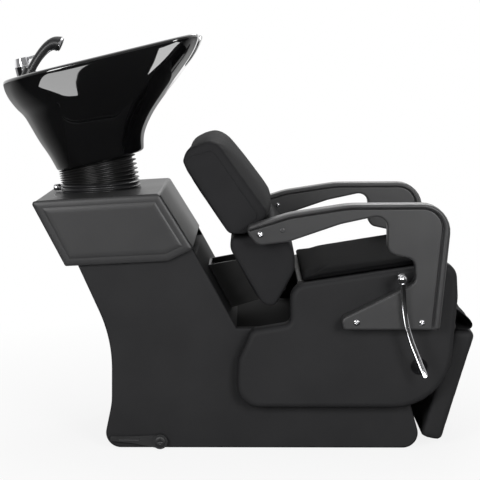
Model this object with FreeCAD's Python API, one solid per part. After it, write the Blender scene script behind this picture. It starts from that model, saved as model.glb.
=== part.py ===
import FreeCAD, Part
import math
import os

Vec = FreeCAD.Vector

# Fits used all through
soft_gap = 0.3
running_gap = 0.05
overrun = 8.0
corner_room_share = 0.47

# Base: two padded side panels that stand on glides and carry everything else
base_length = 768.0
base_width = 440.0
panel_thickness = 22.0
panel_edge_round = 6.0
deck_height = 295.0
deck_thickness = 20.0
deck_front = 235.0
column_height = 510.0
glide_height = 3.0
glide_radius = 18.0
glide_inset = 48.0
board_thickness = 18.0
front_board_top = 468.0
cover_thickness = 14.0
cover_bottom = 46.0
cover_top = 462.0
rail_width = 40.0
rail_height = 42.0
rail_reach_share = 0.41015625
rear_edge_shares = ((-0.585, 0.922, 0.0), (-0.4675, 0.525, 0.93), (-0.470, 0.220, 0.23))
toe_shares = (0.449, 0.275, 0.20)
deck_end_share = 0.414
notch_share = -0.081
column_front_shares = (-0.2175, 0.955)
foot_round = 36.0

# Head box: a padded cap over the column, carrying the bowl
head_rear = -547.0
head_length = 384.0
head_bottom = 444.0
head_height = 172.0
head_width = 464.0
head_wall = 16.0
head_side_wall = 11.0
head_lip = 32.0
head_edge_round = 9.0
head_hole_radius = 46.0
head_corner_shares = (
    (0.005, 0.895, 0.026), (0.792, 1.0, 0.036), (1.0, 0.244, 0.013), (0.841, 0.07, 0.01), (0.211, 0.0, 0.01))
panel_top_shares = (0.12, 0.93)

# Tilt joint and bellows between head box and bowl
pivot_x = -402.0
pivot_height = 33.0
bowl_rise = 37.0
bowl_pitch = 13.5
tilt_plate_thickness = 5.0
tilt_plate_radius = 78.0
cradle_radius = 84.0
cradle_hole_radius = 32.0
ear_thickness = 5.0
ear_radius = 14.0
ear_offset = 56.0
ear_gap = 0.8
tilt_pin_radius = 6.0
tilt_pin_head = 4.0
tilt_pin_head_radius = 9.0
ring_outer_radius = 100.0
ring_inner_radius = 84.0
ring_height = 20.0
bellows_valley_radius = 91.0
bellows_crest_radius = 97.0
bellows_bore_radius = 87.0
rib_count = 6
rib_shares = ((0.0, 0.0), (0.3, 1.0), (0.55, 1.0), (0.85, 0.0))
lock_height = 11.0
lock_stem_radius = 4.0
lock_knob_radius = 8.5
lock_knob_length = 18.0
lock_bite = 8.0
lock_knob_gap = 0.5

# Bowl, in its own tilted frame: u to the front, v across, w along the bowl's axis
bowl_depth = 246.0
bowl_rear = 168.0
bowl_front = 326.0
bowl_half_width = 235.0
bowl_shares = (
    (0.0, 0.584, 0.353, 0.417, 0.38, 0.30),
    (0.163, 0.678, 0.379, 0.50, 0.42, 0.31),
    (0.341, 0.785, 0.448, 0.61, 0.50, 0.32),
    (0.516, 0.888, 0.568, 0.73, 0.58, 0.33),
    (0.618, 0.953, 0.712, 0.80, 0.62, 0.33),
    (0.70, 0.99, 0.819, 0.86, 0.66, 0.33),
    (0.833, 0.997, 0.943, 0.94, 0.68, 0.32),
    (0.967, 1.0, 1.0, 1.0, 0.68, 0.31),
    (1.0, 0.975, 0.985, 0.98, 0.66, 0.30))
basin_shares = (
    (0.187, 0.175, 0.16, 0.17, 0.12, 0.12),
    (0.236, 0.285, 0.24, 0.30, 0.22, 0.20),
    (0.366, 0.373, 0.325, 0.49, 0.30, 0.27),
    (0.516, 0.422, 0.435, 0.64, 0.34, 0.29),
    (0.65, 0.45, 0.65, 0.75, 0.37, 0.29),
    (0.772, 0.471, 0.82, 0.84, 0.38, 0.28),
    (0.915, 0.493, 0.93, 0.915, 0.38, 0.27),
    (1.0, 0.515, 0.955, 0.94, 0.38, 0.26),
    (1.02, 0.526, 0.96, 0.945, 0.38, 0.26))
underside_radius = 58.0
underside_depth = 28.0
neck_radius = 92.0
neck_rise = 26.0
neck_rest_thickness = 10.0
neck_rest_length = 66.0

# Waste fitting in the bowl and the drain below it
waste_bore = 18.0
waste_wall = 2.0
waste_flange_radius = 28.0
waste_flange_thickness = 3.0
waste_length = 92.0
waste_nut_radius = 30.0
waste_nut_thickness = 10.0
waste_gap = 0.5
outlet_x = -262.0
outlet_bottom = 30.0
outlet_top = 150.0
outlet_collar_radius = 26.0
hose_wall = 3.0
hose_stub = 14.0

# Water supply inside the base
shelf_bottom = 70.0
shelf_thickness = 15.0
shelf_rear = -330.0
shelf_front = -190.0
valve_x = -245.0
valve_y = 172.0
valve_height = 21.0
valve_radius = 13.0
bonnet_radius = 11.0
valve_top = 62.0
inlet_radius = 10.5
inlet_reach = 36.0
inlet_bottom = 5.0
inlet_arm_radius = 9.0
inlet_arm_height = 48.0
shoulder_radius = 12.0
shoulder_bottom = 35.0
riser_radius = 8.0
riser_wall = 1.5
riser_top = 540.0
stem_radius = 6.0
stem_depth = 14.0
valve_hub_radius = 18.0
valve_hub_length = 12.0
valve_hub_gap = 1.0
valve_lever_length = 119.0
valve_lever_thickness = 7.0
valve_lever_shares = (
    (0.0, 0.89, 0.0), (0.56, 0.72, 0.2), (1.0, 0.72, 0.15), (1.0, 0.06, 0.15), (0.56, -0.2, 0.2), (0.0, -0.97, 0.0))

# Mixer tap and hand shower on the rear ledge of the bowl
mixer_u = -126.0
mixer_v = 46.0
mixer_radius = 21.0
mixer_height = 26.0
mixer_shank_radius = 12.0
mixer_shank_length = 40.0
mixer_cap_height = 20.0
mixer_cap_gap = 0.5
mixer_cap_taper = 4.0
mixer_lever_length = 62.0
mixer_lever_width = 15.0
mixer_lever_thickness = 7.0
mixer_lever_rise = 4.0
handset_u = -106.0
handset_v = -34.0
handset_lean = 36.0
handset_radius = 10.0
handset_gap = 0.4
handset_depth = 22.0
socket_radius = 17.0
socket_height = 15.0
handset_length = 104.0
handset_path_shares = (
    (0.0, 0.0, 1.0, 0.0), (0.30, 0.0, 1.02, 0.0), (0.55, 0.03, 1.12, 14.0), (0.75, 0.11, 1.3, 38.0),
    (0.90, 0.25, 1.6, 66.0), (0.95, 0.40, 1.9, 90.0))
face_thickness = 5.0
face_inset = 2.0

# Seat box: capsule-shaped side panels outside the base panels
seat_panel_thickness = 45.0
seat_rear_share = -0.0807
seat_length_share = 0.6758
seat_drop = 184.0
seat_panel_height = 353.0
seat_panel_round = 13.0
seat_panel_shares = (
    (0.0, 0.0, 0.185), (0.006, 0.32, 0.11), (0.068, 0.527, 0.05), (0.244, 0.572, 0.03), (0.241, 0.830, 0.08),
    (0.99, 1.0, 0.12), (1.0, 0.75, 0.16), (0.958, 0.0, 0.32))
seat_board_thickness = 12.0
seat_board_shares = (0.28, 0.665)
front_rail_shares = (0.855, 0.9)
front_rail_depth = 50.0
cushion_half_width = 250.0
cushion_thickness = 26.0
cushion_crown = 7.0
cushion_shares = (
    (0.285, 0.0, 0.42, 0.0), (0.285, 0.95, 0.45, 0.0), (0.40, 1.0, 2.0, 1.0), (0.82, 1.0, 3.0, 1.0),
    (0.935, 0.92, 0.45, 0.0), (0.955, 0.0, 0.42, 0.0))
station_shares = ((-1.0, 0.0), (-0.5, 0.75), (0.0, 1.0), (0.5, 0.75), (1.0, 0.0))
pad_edge_round = 9.0
pad_corner_round = 10.0
roll_half_width = 213.0
roll_shares = (
    (0.901, 0.925, 0.02, 0.0), (0.965, 0.955, 0.08, 0.3), (0.998, 0.83, 0.1, 1.0), (0.992, 0.665, 0.06, 0.6),
    (0.925, 0.665, 0.03, 0.0), (0.901, 0.76, 0.03, 0.0))
roll_crown = 5.0
tie_rod_shares = (0.8266, 0.289)
tie_rod_radius = 8.0
tie_cap_radius = 19.0
tie_cap_height = 5.0
tie_cap_dish = 2.0

# Back rest: a steel bracket off the column, a board and two upholstered blocks
back_pitch = 30.0
back_board_reach = 68.0
back_board_rise = 77.0
back_board_length = 300.0
back_board_thickness = 15.0
back_board_half_width = 150.0
bracket_half_width = 62.0
bracket_plate = 6.0
bracket_low_rise = 23.0
bracket_height = 106.0
bracket_nose_reach = 55.0
bracket_nose_rise = 43.0
back_half_width = 258.0
back_setback = 131.0
back_rise = 226.0
back_length = 212.0
back_height = 227.0
back_crown = 26.0
back_shares = (
    (0.0, 0.76, 0.10, 0.0), (0.075, 0.89, 0.15, 0.1), (0.38, 1.0, 0.14, 0.55), (1.0, 0.20, 0.10, 0.75),
    (0.715, 0.0, 0.06, 0.0), (0.53, 0.005, 0.06, 0.0))
lumbar_half_width = 258.0
lumbar_setback = 16.0
lumbar_rise = 55.0
lumbar_length = 156.0
lumbar_height = 208.0
lumbar_crown = 10.0
lumbar_shares = (
    (0.0, 0.80, 0.06, 0.0), (0.0, 0.66, 0.06, 0.0), (0.47, 0.04, 0.06, 0.0), (0.575, 0.0, 0.08, 0.0),
    (0.695, 0.01, 0.08, 0.0), (0.985, 0.42, 0.2, 0.0), (0.985, 0.66, 0.3, 0.2), (0.64, 0.985, 0.06, 0.3),
    (0.26, 0.80, 0.06, 0.0))

# Armrests
arm_thickness = 44.0
arm_reach = 26.0
arm_length_share = 0.894
arm_rise = 196.0
arm_height = 297.0
arm_bead_width = 16.0
arm_bead_height = 4.0
arm_bead_zone = 22.0
arm_shares = (
    (0.0, 0.82, 0.025), (0.21, 0.936, 0.40), (0.50, 1.0, 0.60), (1.018, 1.0, 0.14), (0.960, 0.0, 0.02),
    (0.478, 0.0, 0.02), (0.468, 0.085, 0.03), (0.765, 0.315, 0.05), (0.838, 0.37, 0.06), (0.83, 0.555, 0.05),
    (0.695, 0.60, 0.05), (0.692, 0.892, 0.055), (0.46, 0.81, 0.40), (0.20, 0.665, 0.12), (0.05, 0.66, 0.05),
    (0.0, 0.755, 0.035))
arm_screw_shares = ((0.0625, 0.75), (0.543, 0.06), (0.869, 0.06))
arm_screw_radius = 7.0
arm_screw_head = 4.0
arm_screw_shank = 4.0
arm_screw_bite = 20.0
spacer_radius = 12.0

# Leg-rest drive: lever, cross shaft, cranks and push links
shaft_shares = (0.7302, 0.9037)
shaft_radius = 6.0
lever_plane = 322.0
lever_thickness = 6.0
lever_eye_radius = 11.0
lever_hub_radius = 12.0
lever_length = 238.0
lever_shares = (
    (-0.026, 0.0, 0.0), (0.030, -0.34, 1.6), (0.228, -0.98, 0.025), (0.280, -0.96, 0.025), (0.087, -0.34, 1.6),
    (0.026, 0.0, 0.0))
hinge_shares = (0.9788, 0.5354)
hinge_radius = 7.0
plate_thickness = 6.0
plate_eye_radius = 12.0
crank_plane = 176.0
crank_thickness = 6.0
crank_length = 55.0
crank_angle = -150.0
crank_hub_radius = 13.0
crank_eye_radius = 9.0
stud_radius = 5.0
stud_length = 10.0
link_gap = 1.0
link_thickness = 6.0
link_radius = 9.0
open_pivot_gap = 0.8

# Leg rest
leg_pitch = 15.0
leg_half_width = 213.0
leg_top_reach = 10.0
leg_top_drop = 12.0
leg_length = 270.0
leg_board_thickness = 14.0
leg_pad_thickness = 38.0
leg_pad_crown = 6.0
leg_pad_round = 14.0
bracket_foot_shares = (0.05, 0.30)
flap_half_width = 204.0
flap_thickness = 3.0
flap_reach = 47.0
flap_rise = 52.0
flap_round = 14.0


def xz(y):
    """Plane of side views at depth y."""
    return lambda a, b: Vec(a, y, b)


def rounded_wire(corners, at):
    """Closed wire through corners (a, b, radius); each corner with a radius is rounded by an arc."""
    count = len(corners)
    cuts = []
    for i in range(count):
        here = at(corners[i][0], corners[i][1])
        before = at(*corners[i - 1][:2]) - here
        after = at(*corners[(i + 1) % count][:2]) - here
        half_turn = (math.pi - before.getAngle(after)) / 2
        room = corner_room_share * min(before.Length, after.Length)
        reach = min(corners[i][2] * math.tan(half_turn), room)
        radius = reach / math.tan(half_turn)
        before.normalize()
        after.normalize()
        inward = (before + after).normalize()
        middle = here + inward * (radius / math.cos(half_turn) - radius)
        cuts.append((here + before * reach, middle, here + after * reach, reach > 0))
    edges = []
    for i in range(count):
        start, middle, end, is_round = cuts[i]
        if is_round:
            edges.append(Part.Arc(start, middle, end).toShape())
        edges.append(Part.LineSegment(end, cuts[(i + 1) % count][0]).toShape())
    return Part.Wire(edges)


def placed_corners(shares, x, z, length, height, radius_size):
    """Corners of an outline given in shares of its box."""
    return [(x + row[0] * length, z + row[1] * height, row[2] * radius_size) for row in shares]


def prism(corners, y_start, y_end):
    """Side outline pushed across from y_start to y_end."""
    return Part.Face(rounded_wire(corners, xz(y_start))).extrude(Vec(0, y_end - y_start, 0))


def turn_sign(corners):
    """1 for an outline that runs anticlockwise in the side view, else -1."""
    area = 0.0
    for i in range(len(corners)):
        area += corners[i - 1][0] * corners[i][1] - corners[i][0] * corners[i - 1][1]
    return math.copysign(1.0, area)


def inset(corners, distance):
    """The outline moved inwards by distance, corner by corner."""
    sign = turn_sign(corners)
    count = len(corners)
    moved = []
    for i in range(count):
        x, z, radius = corners[i][:3]
        x_in, z_in = x - corners[i - 1][0], z - corners[i - 1][1]
        x_out, z_out = corners[(i + 1) % count][0] - x, corners[(i + 1) % count][1] - z
        length_in, length_out = math.hypot(x_in, z_in), math.hypot(x_out, z_out)
        normal_in = (-z_in / length_in * sign, x_in / length_in * sign)
        normal_out = (-z_out / length_out * sign, x_out / length_out * sign)
        spread = 1 + normal_in[0] * normal_out[0] + normal_in[1] * normal_out[1]
        is_convex = (x_in * z_out - z_in * x_out) * sign > 0
        new_radius = max(radius - distance, 0.0) if is_convex else radius + distance
        if radius > 0 and new_radius == 0:
            new_radius = radius * corner_room_share
        moved.append((x + (normal_in[0] + normal_out[0]) / spread * distance,
                      z + (normal_in[1] + normal_out[1]) / spread * distance, new_radius))
    return moved


def rod_y(x, z, radius, y_start, y_end):
    """Round bar across the unit."""
    return Part.makeCylinder(radius, y_end - y_start, Vec(x, y_start, z), Vec(0, 1, 0))


def slab(x_start, x_end, y_start, y_end, z_start, z_end):
    """Straight board between corner values."""
    return Part.makeBox(x_end - x_start, y_end - y_start, z_end - z_start, Vec(x_start, y_start, z_start))


def mirrored(shape):
    """The same piece on the other side of the unit."""
    return shape.mirror(Vec(0, 0, 0), Vec(0, 1, 0))


def both_sides(shape):
    """A piece and its mirror image as one group."""
    return Part.makeCompound([shape, mirrored(shape)])


def edges_at(solid, y):
    """Edges of a solid that lie in the side plane at y."""
    return [edge for edge in solid.Edges if all(abs(v.Point.y - y) < running_gap for v in edge.Vertexes)]


def shift_along(pitch, along, across):
    """Offset of along and across a line that leans by pitch degrees from level."""
    lean = math.radians(pitch)
    return Vec(along * math.cos(lean) - across * math.sin(lean), 0, along * math.sin(lean) + across * math.cos(lean))


def crowned_pad(corners, swells, half_width, crown, lean):
    """Upholstered block: side outlines lofted across, swelling along lean towards the middle."""
    wires = []
    for place, share in station_shares:
        swollen = []
        for (x, z, radius), swell in zip(corners, swells):
            push = crown * share * swell
            swollen.append((x + push * math.cos(math.radians(lean)), z + push * math.sin(math.radians(lean)), radius))
        wires.append(rounded_wire(swollen, xz(place * half_width)))
    pad = Part.makeLoft(wires, True, False)
    return pad.makeFillet(pad_edge_round, edges_at(pad, half_width) + edges_at(pad, -half_width))


def bar_between(start, end, radius_start, radius_end, y_start, y_end):
    """Flat link with round ends about two points (x, z) of the side view."""
    run_x, run_z = end[0] - start[0], end[1] - start[1]
    length = math.hypot(run_x, run_z)
    side_x, side_z = -run_z / length, run_x / length
    web = [(start[0] + side_x * radius_start, start[1] + side_z * radius_start, 0.0),
           (end[0] + side_x * radius_end, end[1] + side_z * radius_end, 0.0),
           (end[0] - side_x * radius_end, end[1] - side_z * radius_end, 0.0),
           (start[0] - side_x * radius_start, start[1] - side_z * radius_start, 0.0)]
    link = prism(web, y_start, y_end)
    link = link.fuse(rod_y(start[0], start[1], radius_start, y_start, y_end))
    return link.fuse(rod_y(end[0], end[1], radius_end, y_start, y_end)).removeSplitter()


# Values worked out from the sizes above
base_half = base_width / 2
panel_inner = base_half - panel_thickness
seat_outer = base_half + seat_panel_thickness
arm_outer = seat_outer + arm_thickness
seat_panel_rear = seat_rear_share * base_length
seat_panel_length = seat_length_share * base_length
seat_panel_bottom = deck_height - seat_drop
pieces = {}


def on_seat(shares):
    """Point (x, z) at shares of the seat panel's box."""
    x = seat_panel_rear + shares[0] * seat_panel_length
    return x, seat_panel_bottom + shares[1] * seat_panel_height


shaft_x, shaft_z = on_seat(shaft_shares)
hinge_x, hinge_z = on_seat(hinge_shares)
tie_rod_x, tie_rod_z = on_seat(tie_rod_shares)
arm_rear = seat_panel_rear + arm_reach
arm_bottom = seat_panel_bottom + arm_rise
arm_length = arm_length_share * seat_panel_length
back_board_rear = seat_panel_rear + back_board_reach
back_board_foot = deck_height + back_board_rise
back_rear = seat_panel_rear - back_setback
back_bottom = deck_height + back_rise
lumbar_rear = seat_panel_rear - lumbar_setback
lumbar_bottom = deck_height + lumbar_rise
bracket_low = deck_height + bracket_low_rise
bracket_high = bracket_low + bracket_height
bracket_nose_x = seat_panel_rear + bracket_nose_reach
bracket_nose_z = deck_height + bracket_nose_rise
leg_top_x = hinge_x + leg_top_reach
leg_top_z = hinge_z - leg_top_drop

head_corners = placed_corners(head_corner_shares, head_rear, head_bottom, head_length, head_height, head_length)
head_inner = inset(head_corners, head_wall)
top_rear, top_front = head_corners[0], head_corners[1]
head_slope = (top_front[1] - top_rear[1]) / (top_front[0] - top_rear[0])
head_pitch = math.degrees(math.atan(head_slope))


def under_head(share):
    """Point on the underside of the head box's top, by its share from rear to front."""
    x = head_inner[0][0] + share * (head_inner[1][0] - head_inner[0][0])
    return x, head_inner[0][1] + share * (head_inner[1][1] - head_inner[0][1])


head_seat = Vec(pivot_x, 0, top_rear[1] + (pivot_x - top_rear[0]) * head_slope)
pivot = head_seat + shift_along(head_pitch, 0, pivot_height)
bowl_origin = pivot + shift_along(bowl_pitch, 0, bowl_rise)
head_frame = FreeCAD.Placement(head_seat, FreeCAD.Rotation(Vec(0, 1, 0), -head_pitch)).toMatrix()
bowl_frame = FreeCAD.Placement(bowl_origin, FreeCAD.Rotation(Vec(0, 1, 0), -bowl_pitch)).toMatrix()
pivot_frame = FreeCAD.Placement(pivot, FreeCAD.Rotation(Vec(0, 1, 0), -bowl_pitch)).toMatrix()

# Head box: bent and padded shell, open below, with the drain hole in its top
head_outer_solid = prism(head_corners, -head_width / 2, head_width / 2)
head_outer_solid = head_outer_solid.makeFillet(
    head_edge_round, edges_at(head_outer_solid, head_width / 2) + edges_at(head_outer_solid, -head_width / 2))
cavity_corners = [head_inner[0], head_inner[1]]
cavity_corners += [(head_inner[2][0], head_inner[2][1] - head_lip, 0.0),
                   (head_inner[2][0], head_bottom - overrun, 0.0),
                   (head_inner[4][0], head_bottom - overrun, 0.0)]
head_cavity_half = head_width / 2 - head_side_wall
head_cavity = prism(cavity_corners, -head_cavity_half, head_cavity_half)
head_hole = Part.makeCylinder(head_hole_radius, head_wall + overrun * 2, Vec(0, 0, -head_wall - overrun))
head_box = head_outer_solid.cut(head_cavity).cut(head_hole.transformed(head_frame))
pieces["head_box"] = head_box

# Side panels: one swept outline from the floor to the underside of the head box
front_top, rear_top = under_head(panel_top_shares[1]), under_head(panel_top_shares[0])
side_corners = placed_corners(rear_edge_shares, 0, 0, base_length, column_height, base_length)
side_corners += [
    (-base_length / 2, glide_height, foot_round),
    (base_length / 2, glide_height, foot_round),
    (toe_shares[0] * base_length, toe_shares[1] * column_height, toe_shares[2] * base_length),
    (deck_end_share * base_length, deck_height, 0.0),
    (notch_share * base_length, deck_height, 0.0),
    (column_front_shares[0] * base_length, column_front_shares[1] * column_height, 0.0),
    (front_top[0], front_top[1], 0.0),
    (rear_top[0], rear_top[1], 0.0)]
stem_hole = rod_y(valve_x, valve_height, stem_radius + running_gap, -base_half - overrun, 0)
panel = prism(side_corners, -base_half, -panel_inner)
panel = panel.makeFillet(panel_edge_round, edges_at(panel, -base_half)).cut(head_box)
pieces["left_side_panel"] = mirrored(panel)
pieces["right_side_panel"] = panel.cut(stem_hole)

# Boards between the side panels
notch_x = notch_share * base_length
column_lean = (column_front_shares[0] * base_length - notch_x) / (column_front_shares[1] * column_height - deck_height)


def column_face(z):
    """X of the column's front face at height z."""
    return notch_x + (z - deck_height) * column_lean


board_run = board_thickness * math.hypot(1, column_lean)
pieces["column_front_board"] = prism(
    [(column_face(deck_height), deck_height, 0.0), (column_face(front_board_top), front_board_top, 0.0),
     (column_face(front_board_top) - board_run, front_board_top, 0.0),
     (column_face(deck_height) - board_run, deck_height, 0.0)], -panel_inner, panel_inner)
pieces["seat_deck"] = slab(column_face(deck_height) - board_run, deck_front, -panel_inner, panel_inner,
                           deck_height - deck_thickness, deck_height)
inner_fill = prism(side_corners, -panel_inner, panel_inner)
rear_skin = inner_fill.cut(inner_fill.translated(Vec(cover_thickness, 0, 0)))
pieces["rear_cover"] = rear_skin.common(
    slab(head_rear, shelf_rear, -base_half, base_half, cover_bottom, cover_top))
toe_skin = inner_fill.cut(inner_fill.translated(Vec(-cover_thickness, 0, 0)))
pieces["toe_board"] = toe_skin.common(
    slab(deck_front, base_length, -base_half, base_half, cover_bottom, deck_height - deck_thickness))
rail_reach = rail_reach_share * base_length
rail = slab(rail_reach - rail_width / 2, rail_reach + rail_width / 2, -panel_inner, panel_inner,
            glide_height, glide_height + rail_height)
rear_rail = rail.mirror(Vec(0, 0, 0), Vec(1, 0, 0))
pieces["floor_rails"] = Part.makeCompound([rail, rear_rail])
glides = []
for x in (-rail_reach, rail_reach):
    for y in (-panel_inner + glide_inset, panel_inner - glide_inset):
        glides.append(Part.makeCylinder(glide_radius, glide_height, Vec(x, y, 0)))
pieces["floor_glides"] = Part.makeCompound(glides)

# Drain and water pipes, held by a shelf between the side panels
waste_outer = waste_bore + waste_wall
shelf = slab(shelf_rear, shelf_front, -panel_inner, panel_inner, shelf_bottom, shelf_bottom + shelf_thickness)
pipe_places = ((outlet_x, 0.0, waste_outer), (valve_x, -valve_y, riser_radius), (valve_x, valve_y, riser_radius))
for x, y, radius in pipe_places:
    shelf = shelf.cut(Part.makeCylinder(radius + soft_gap, column_height, Vec(x, y, 0)))
pieces["service_shelf"] = shelf
outlet = Part.makeCylinder(waste_outer, outlet_top - outlet_bottom, Vec(outlet_x, 0, outlet_bottom))
upper_collar = Part.makeCylinder(outlet_collar_radius, hose_wall,
                                 Vec(outlet_x, 0, shelf_bottom + shelf_thickness))
lower_collar = Part.makeCylinder(outlet_collar_radius, hose_wall, Vec(outlet_x, 0, shelf_bottom - hose_wall))
outlet_bore = Part.makeCylinder(waste_bore, column_height, Vec(outlet_x, 0, 0))
pieces["waste_outlet"] = outlet.fuse([upper_collar, lower_collar]).cut(outlet_bore).removeSplitter()

inlet_x = valve_x + inlet_reach
inlet = Part.makeCylinder(inlet_radius, shoulder_bottom - inlet_bottom, Vec(inlet_x, -valve_y, inlet_bottom))
shoulder = Part.makeCylinder(shoulder_radius, valve_top - shoulder_bottom, Vec(inlet_x, -valve_y, shoulder_bottom))
inlet_arm = Part.makeCylinder(inlet_arm_radius, inlet_reach, Vec(valve_x, -valve_y, inlet_arm_height), Vec(1, 0, 0))
valve_post = Part.makeCylinder(valve_radius, valve_top - valve_height + valve_radius,
                               Vec(valve_x, -valve_y, valve_height - valve_radius))
valve_bonnet = rod_y(valve_x, valve_height, bonnet_radius, -panel_inner, -valve_y)
stem_bore = rod_y(valve_x, valve_height, stem_radius + running_gap, -base_half, -panel_inner + stem_depth + soft_gap)
elbow = inlet.fuse([shoulder, inlet_arm, valve_post])
pieces["stop_valve_body"] = elbow.fuse(valve_bonnet).cut(stem_bore).removeSplitter()
riser = Part.makeCylinder(riser_radius, riser_top - valve_top, Vec(valve_x, -valve_y, valve_top))
riser = riser.cut(Part.makeCylinder(riser_radius - riser_wall, column_height * 2, Vec(valve_x, -valve_y, 0)))
pieces["cold_riser"] = riser
pieces["hot_elbow"] = mirrored(elbow.removeSplitter())
pieces["hot_riser"] = mirrored(riser)
hub_face = -base_half - valve_hub_gap
valve_hub = rod_y(valve_x, valve_height, valve_hub_radius, hub_face - valve_hub_length, hub_face)
valve_stem = rod_y(valve_x, valve_height, stem_radius, hub_face - valve_hub_length, -panel_inner + stem_depth)
handle_corners = placed_corners(
    valve_lever_shares, valve_x, valve_height, -valve_lever_length, valve_hub_radius, valve_hub_radius)
handle_face = hub_face - (valve_hub_length - valve_lever_thickness) / 2
valve_handle = prism(handle_corners, handle_face - valve_lever_thickness, handle_face)
pieces["stop_valve_lever"] = valve_hub.fuse([valve_stem, valve_handle]).removeSplitter()


def section(w, rear, front, half, rear_round, front_round):
    """Rounded outline across the bowl at height w of its own frame."""
    corners = [(-rear, -half, rear_round), (front, -half, front_round),
               (front, half, front_round), (-rear, half, rear_round)]
    return rounded_wire(corners, lambda a, b: Vec(a, b, w))


def bowl_loft(shares):
    """Solid through the bowl's sections."""
    wires = []
    for w, rear, front, half, rear_round, front_round in shares:
        wires.append(section(w * bowl_depth, rear * bowl_rear, front * bowl_front, half * bowl_half_width,
                             rear_round * bowl_half_width, front_round * bowl_half_width))
    return Part.makeLoft(wires, True, False)


# Ceramic bowl: outer form less the basin, neck recess, drain hole and tap holes
basin_floor = basin_shares[0][0] * bowl_depth
neck_centre = bowl_depth + neck_rise
neck_start = Vec(bowl_front - neck_rest_length, 0, neck_centre)
neck_cut = Part.makeCylinder(neck_radius, bowl_front, neck_start, Vec(1, 0, 0))
mixer_axis = Vec(mixer_u, mixer_v, bowl_depth)
lean = math.radians(handset_lean)
handset_way = Vec(math.sin(lean), 0, math.cos(lean))
handset_seat = Vec(handset_u, handset_v, bowl_depth)
bowl = bowl_loft(bowl_shares).cut(bowl_loft(basin_shares))
bowl = bowl.cut(Part.makeCylinder(waste_outer + waste_gap, bowl_depth))
bowl = bowl.cut(Part.makeCylinder(underside_radius, underside_depth))
bowl = bowl.cut(neck_cut)
shank_hole = Part.makeCylinder(mixer_shank_radius + soft_gap, mixer_shank_length + soft_gap, mixer_axis,
                               Vec(0, 0, -1))
bowl = bowl.cut(shank_hole)
handset_hole = Part.makeCylinder(handset_radius + handset_gap, handset_depth + socket_height,
                                 handset_seat - handset_way * handset_depth, handset_way)
bowl = bowl.cut(handset_hole)
pieces["bowl"] = bowl.transformed(bowl_frame)

flange = Part.makeCylinder(waste_flange_radius, waste_flange_thickness, Vec(0, 0, basin_floor))
tail = Part.makeCylinder(waste_outer, basin_floor + waste_length, Vec(0, 0, -waste_length))
tail_bore = Part.makeCylinder(waste_bore, bowl_depth + waste_length * 2, Vec(0, 0, -waste_length * 2))
pieces["waste_fitting"] = flange.fuse(tail).cut(tail_bore).removeSplitter().transformed(bowl_frame)
nut = Part.makeCylinder(waste_nut_radius, waste_nut_thickness, Vec(0, 0, underside_depth - waste_nut_thickness))
pieces["waste_nut"] = nut.cut(Part.makeCylinder(waste_outer, bowl_depth)).transformed(bowl_frame)

pad_ring = Part.makeCylinder(neck_radius - soft_gap, neck_rest_length, neck_start, Vec(1, 0, 0))
pad_ring = pad_ring.cut(Part.makeCylinder(neck_radius - neck_rest_thickness, bowl_front, neck_start, Vec(1, 0, 0)))
pieces["neck_rest"] = pad_ring.common(bowl_loft(bowl_shares)).transformed(bowl_frame)

# Mixer: shank through the ledge, body, turning cap and lever
mixer_body = Part.makeCylinder(mixer_radius, mixer_height, mixer_axis)
mixer_shank = Part.makeCylinder(mixer_shank_radius, mixer_shank_length, mixer_axis, Vec(0, 0, -1))
pieces["mixer_body"] = mixer_body.fuse(mixer_shank).removeSplitter().transformed(bowl_frame)
cap_base = mixer_axis + Vec(0, 0, mixer_height + mixer_cap_gap)
mixer_cap = Part.makeCone(mixer_radius, mixer_radius - mixer_cap_taper, mixer_cap_height, cap_base)
slot_half = mixer_lever_width / 2 + mixer_cap_gap
lever_slot = slab(mixer_u - mixer_radius, mixer_u + mixer_radius * 2, mixer_v - slot_half, mixer_v + slot_half,
                  cap_base.z + mixer_cap_height / 2, cap_base.z + mixer_cap_height * 2)
lever_pin_u = mixer_u - mixer_radius / 3
lever_pin_w = cap_base.z + mixer_cap_height / 2 + mixer_lever_thickness / 2 + mixer_cap_gap
lever_pin = rod_y(lever_pin_u, lever_pin_w, mixer_lever_thickness / 4, mixer_v - mixer_lever_width,
                  mixer_v + mixer_lever_width)
pieces["mixer_cap"] = mixer_cap.cut(lever_slot).fuse(lever_pin).removeSplitter().transformed(bowl_frame)
lever_tip = (lever_pin_u + mixer_lever_length, lever_pin_w + mixer_lever_rise)
tap_lever = bar_between((lever_pin_u, lever_pin_w), lever_tip, mixer_lever_thickness / 2, mixer_lever_thickness / 3,
                        mixer_v - mixer_lever_width / 2, mixer_v + mixer_lever_width / 2)
tap_lever = tap_lever.cut(rod_y(lever_pin_u, lever_pin_w, mixer_lever_thickness / 4 + running_gap,
                                mixer_v - mixer_lever_width, mixer_v + mixer_lever_width))
pieces["mixer_lever"] = tap_lever.transformed(bowl_frame)

# Hand shower parked in a leaning socket
socket = Part.makeCylinder(socket_radius, socket_height * 2, handset_seat - handset_way * socket_height, handset_way)
socket = socket.common(slab(-bowl_rear * 2, bowl_front, -bowl_half_width, bowl_half_width, bowl_depth, bowl_depth * 2))
pieces["handset_socket"] = socket.cut(handset_hole).transformed(bowl_frame)
handset_wires = []
for along, across, width, bend in handset_path_shares:
    centre = handset_seat + handset_way * (along * handset_length)
    centre += Vec(handset_way.z, 0, -handset_way.x) * (across * handset_length)
    ring = Part.makeCircle(handset_radius * width)
    ring.Placement = FreeCAD.Placement(centre, FreeCAD.Rotation(Vec(0, 1, 0), handset_lean + bend))
    handset_wires.append(Part.Wire([ring]))
handset_grip = Part.makeLoft(handset_wires, True, False)
handset_root = Part.makeCylinder(handset_radius, handset_depth - soft_gap, handset_seat, handset_way * -1)
pieces["handset"] = handset_grip.fuse(handset_root).removeSplitter().transformed(bowl_frame)
face_row = handset_path_shares[-1]
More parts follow.
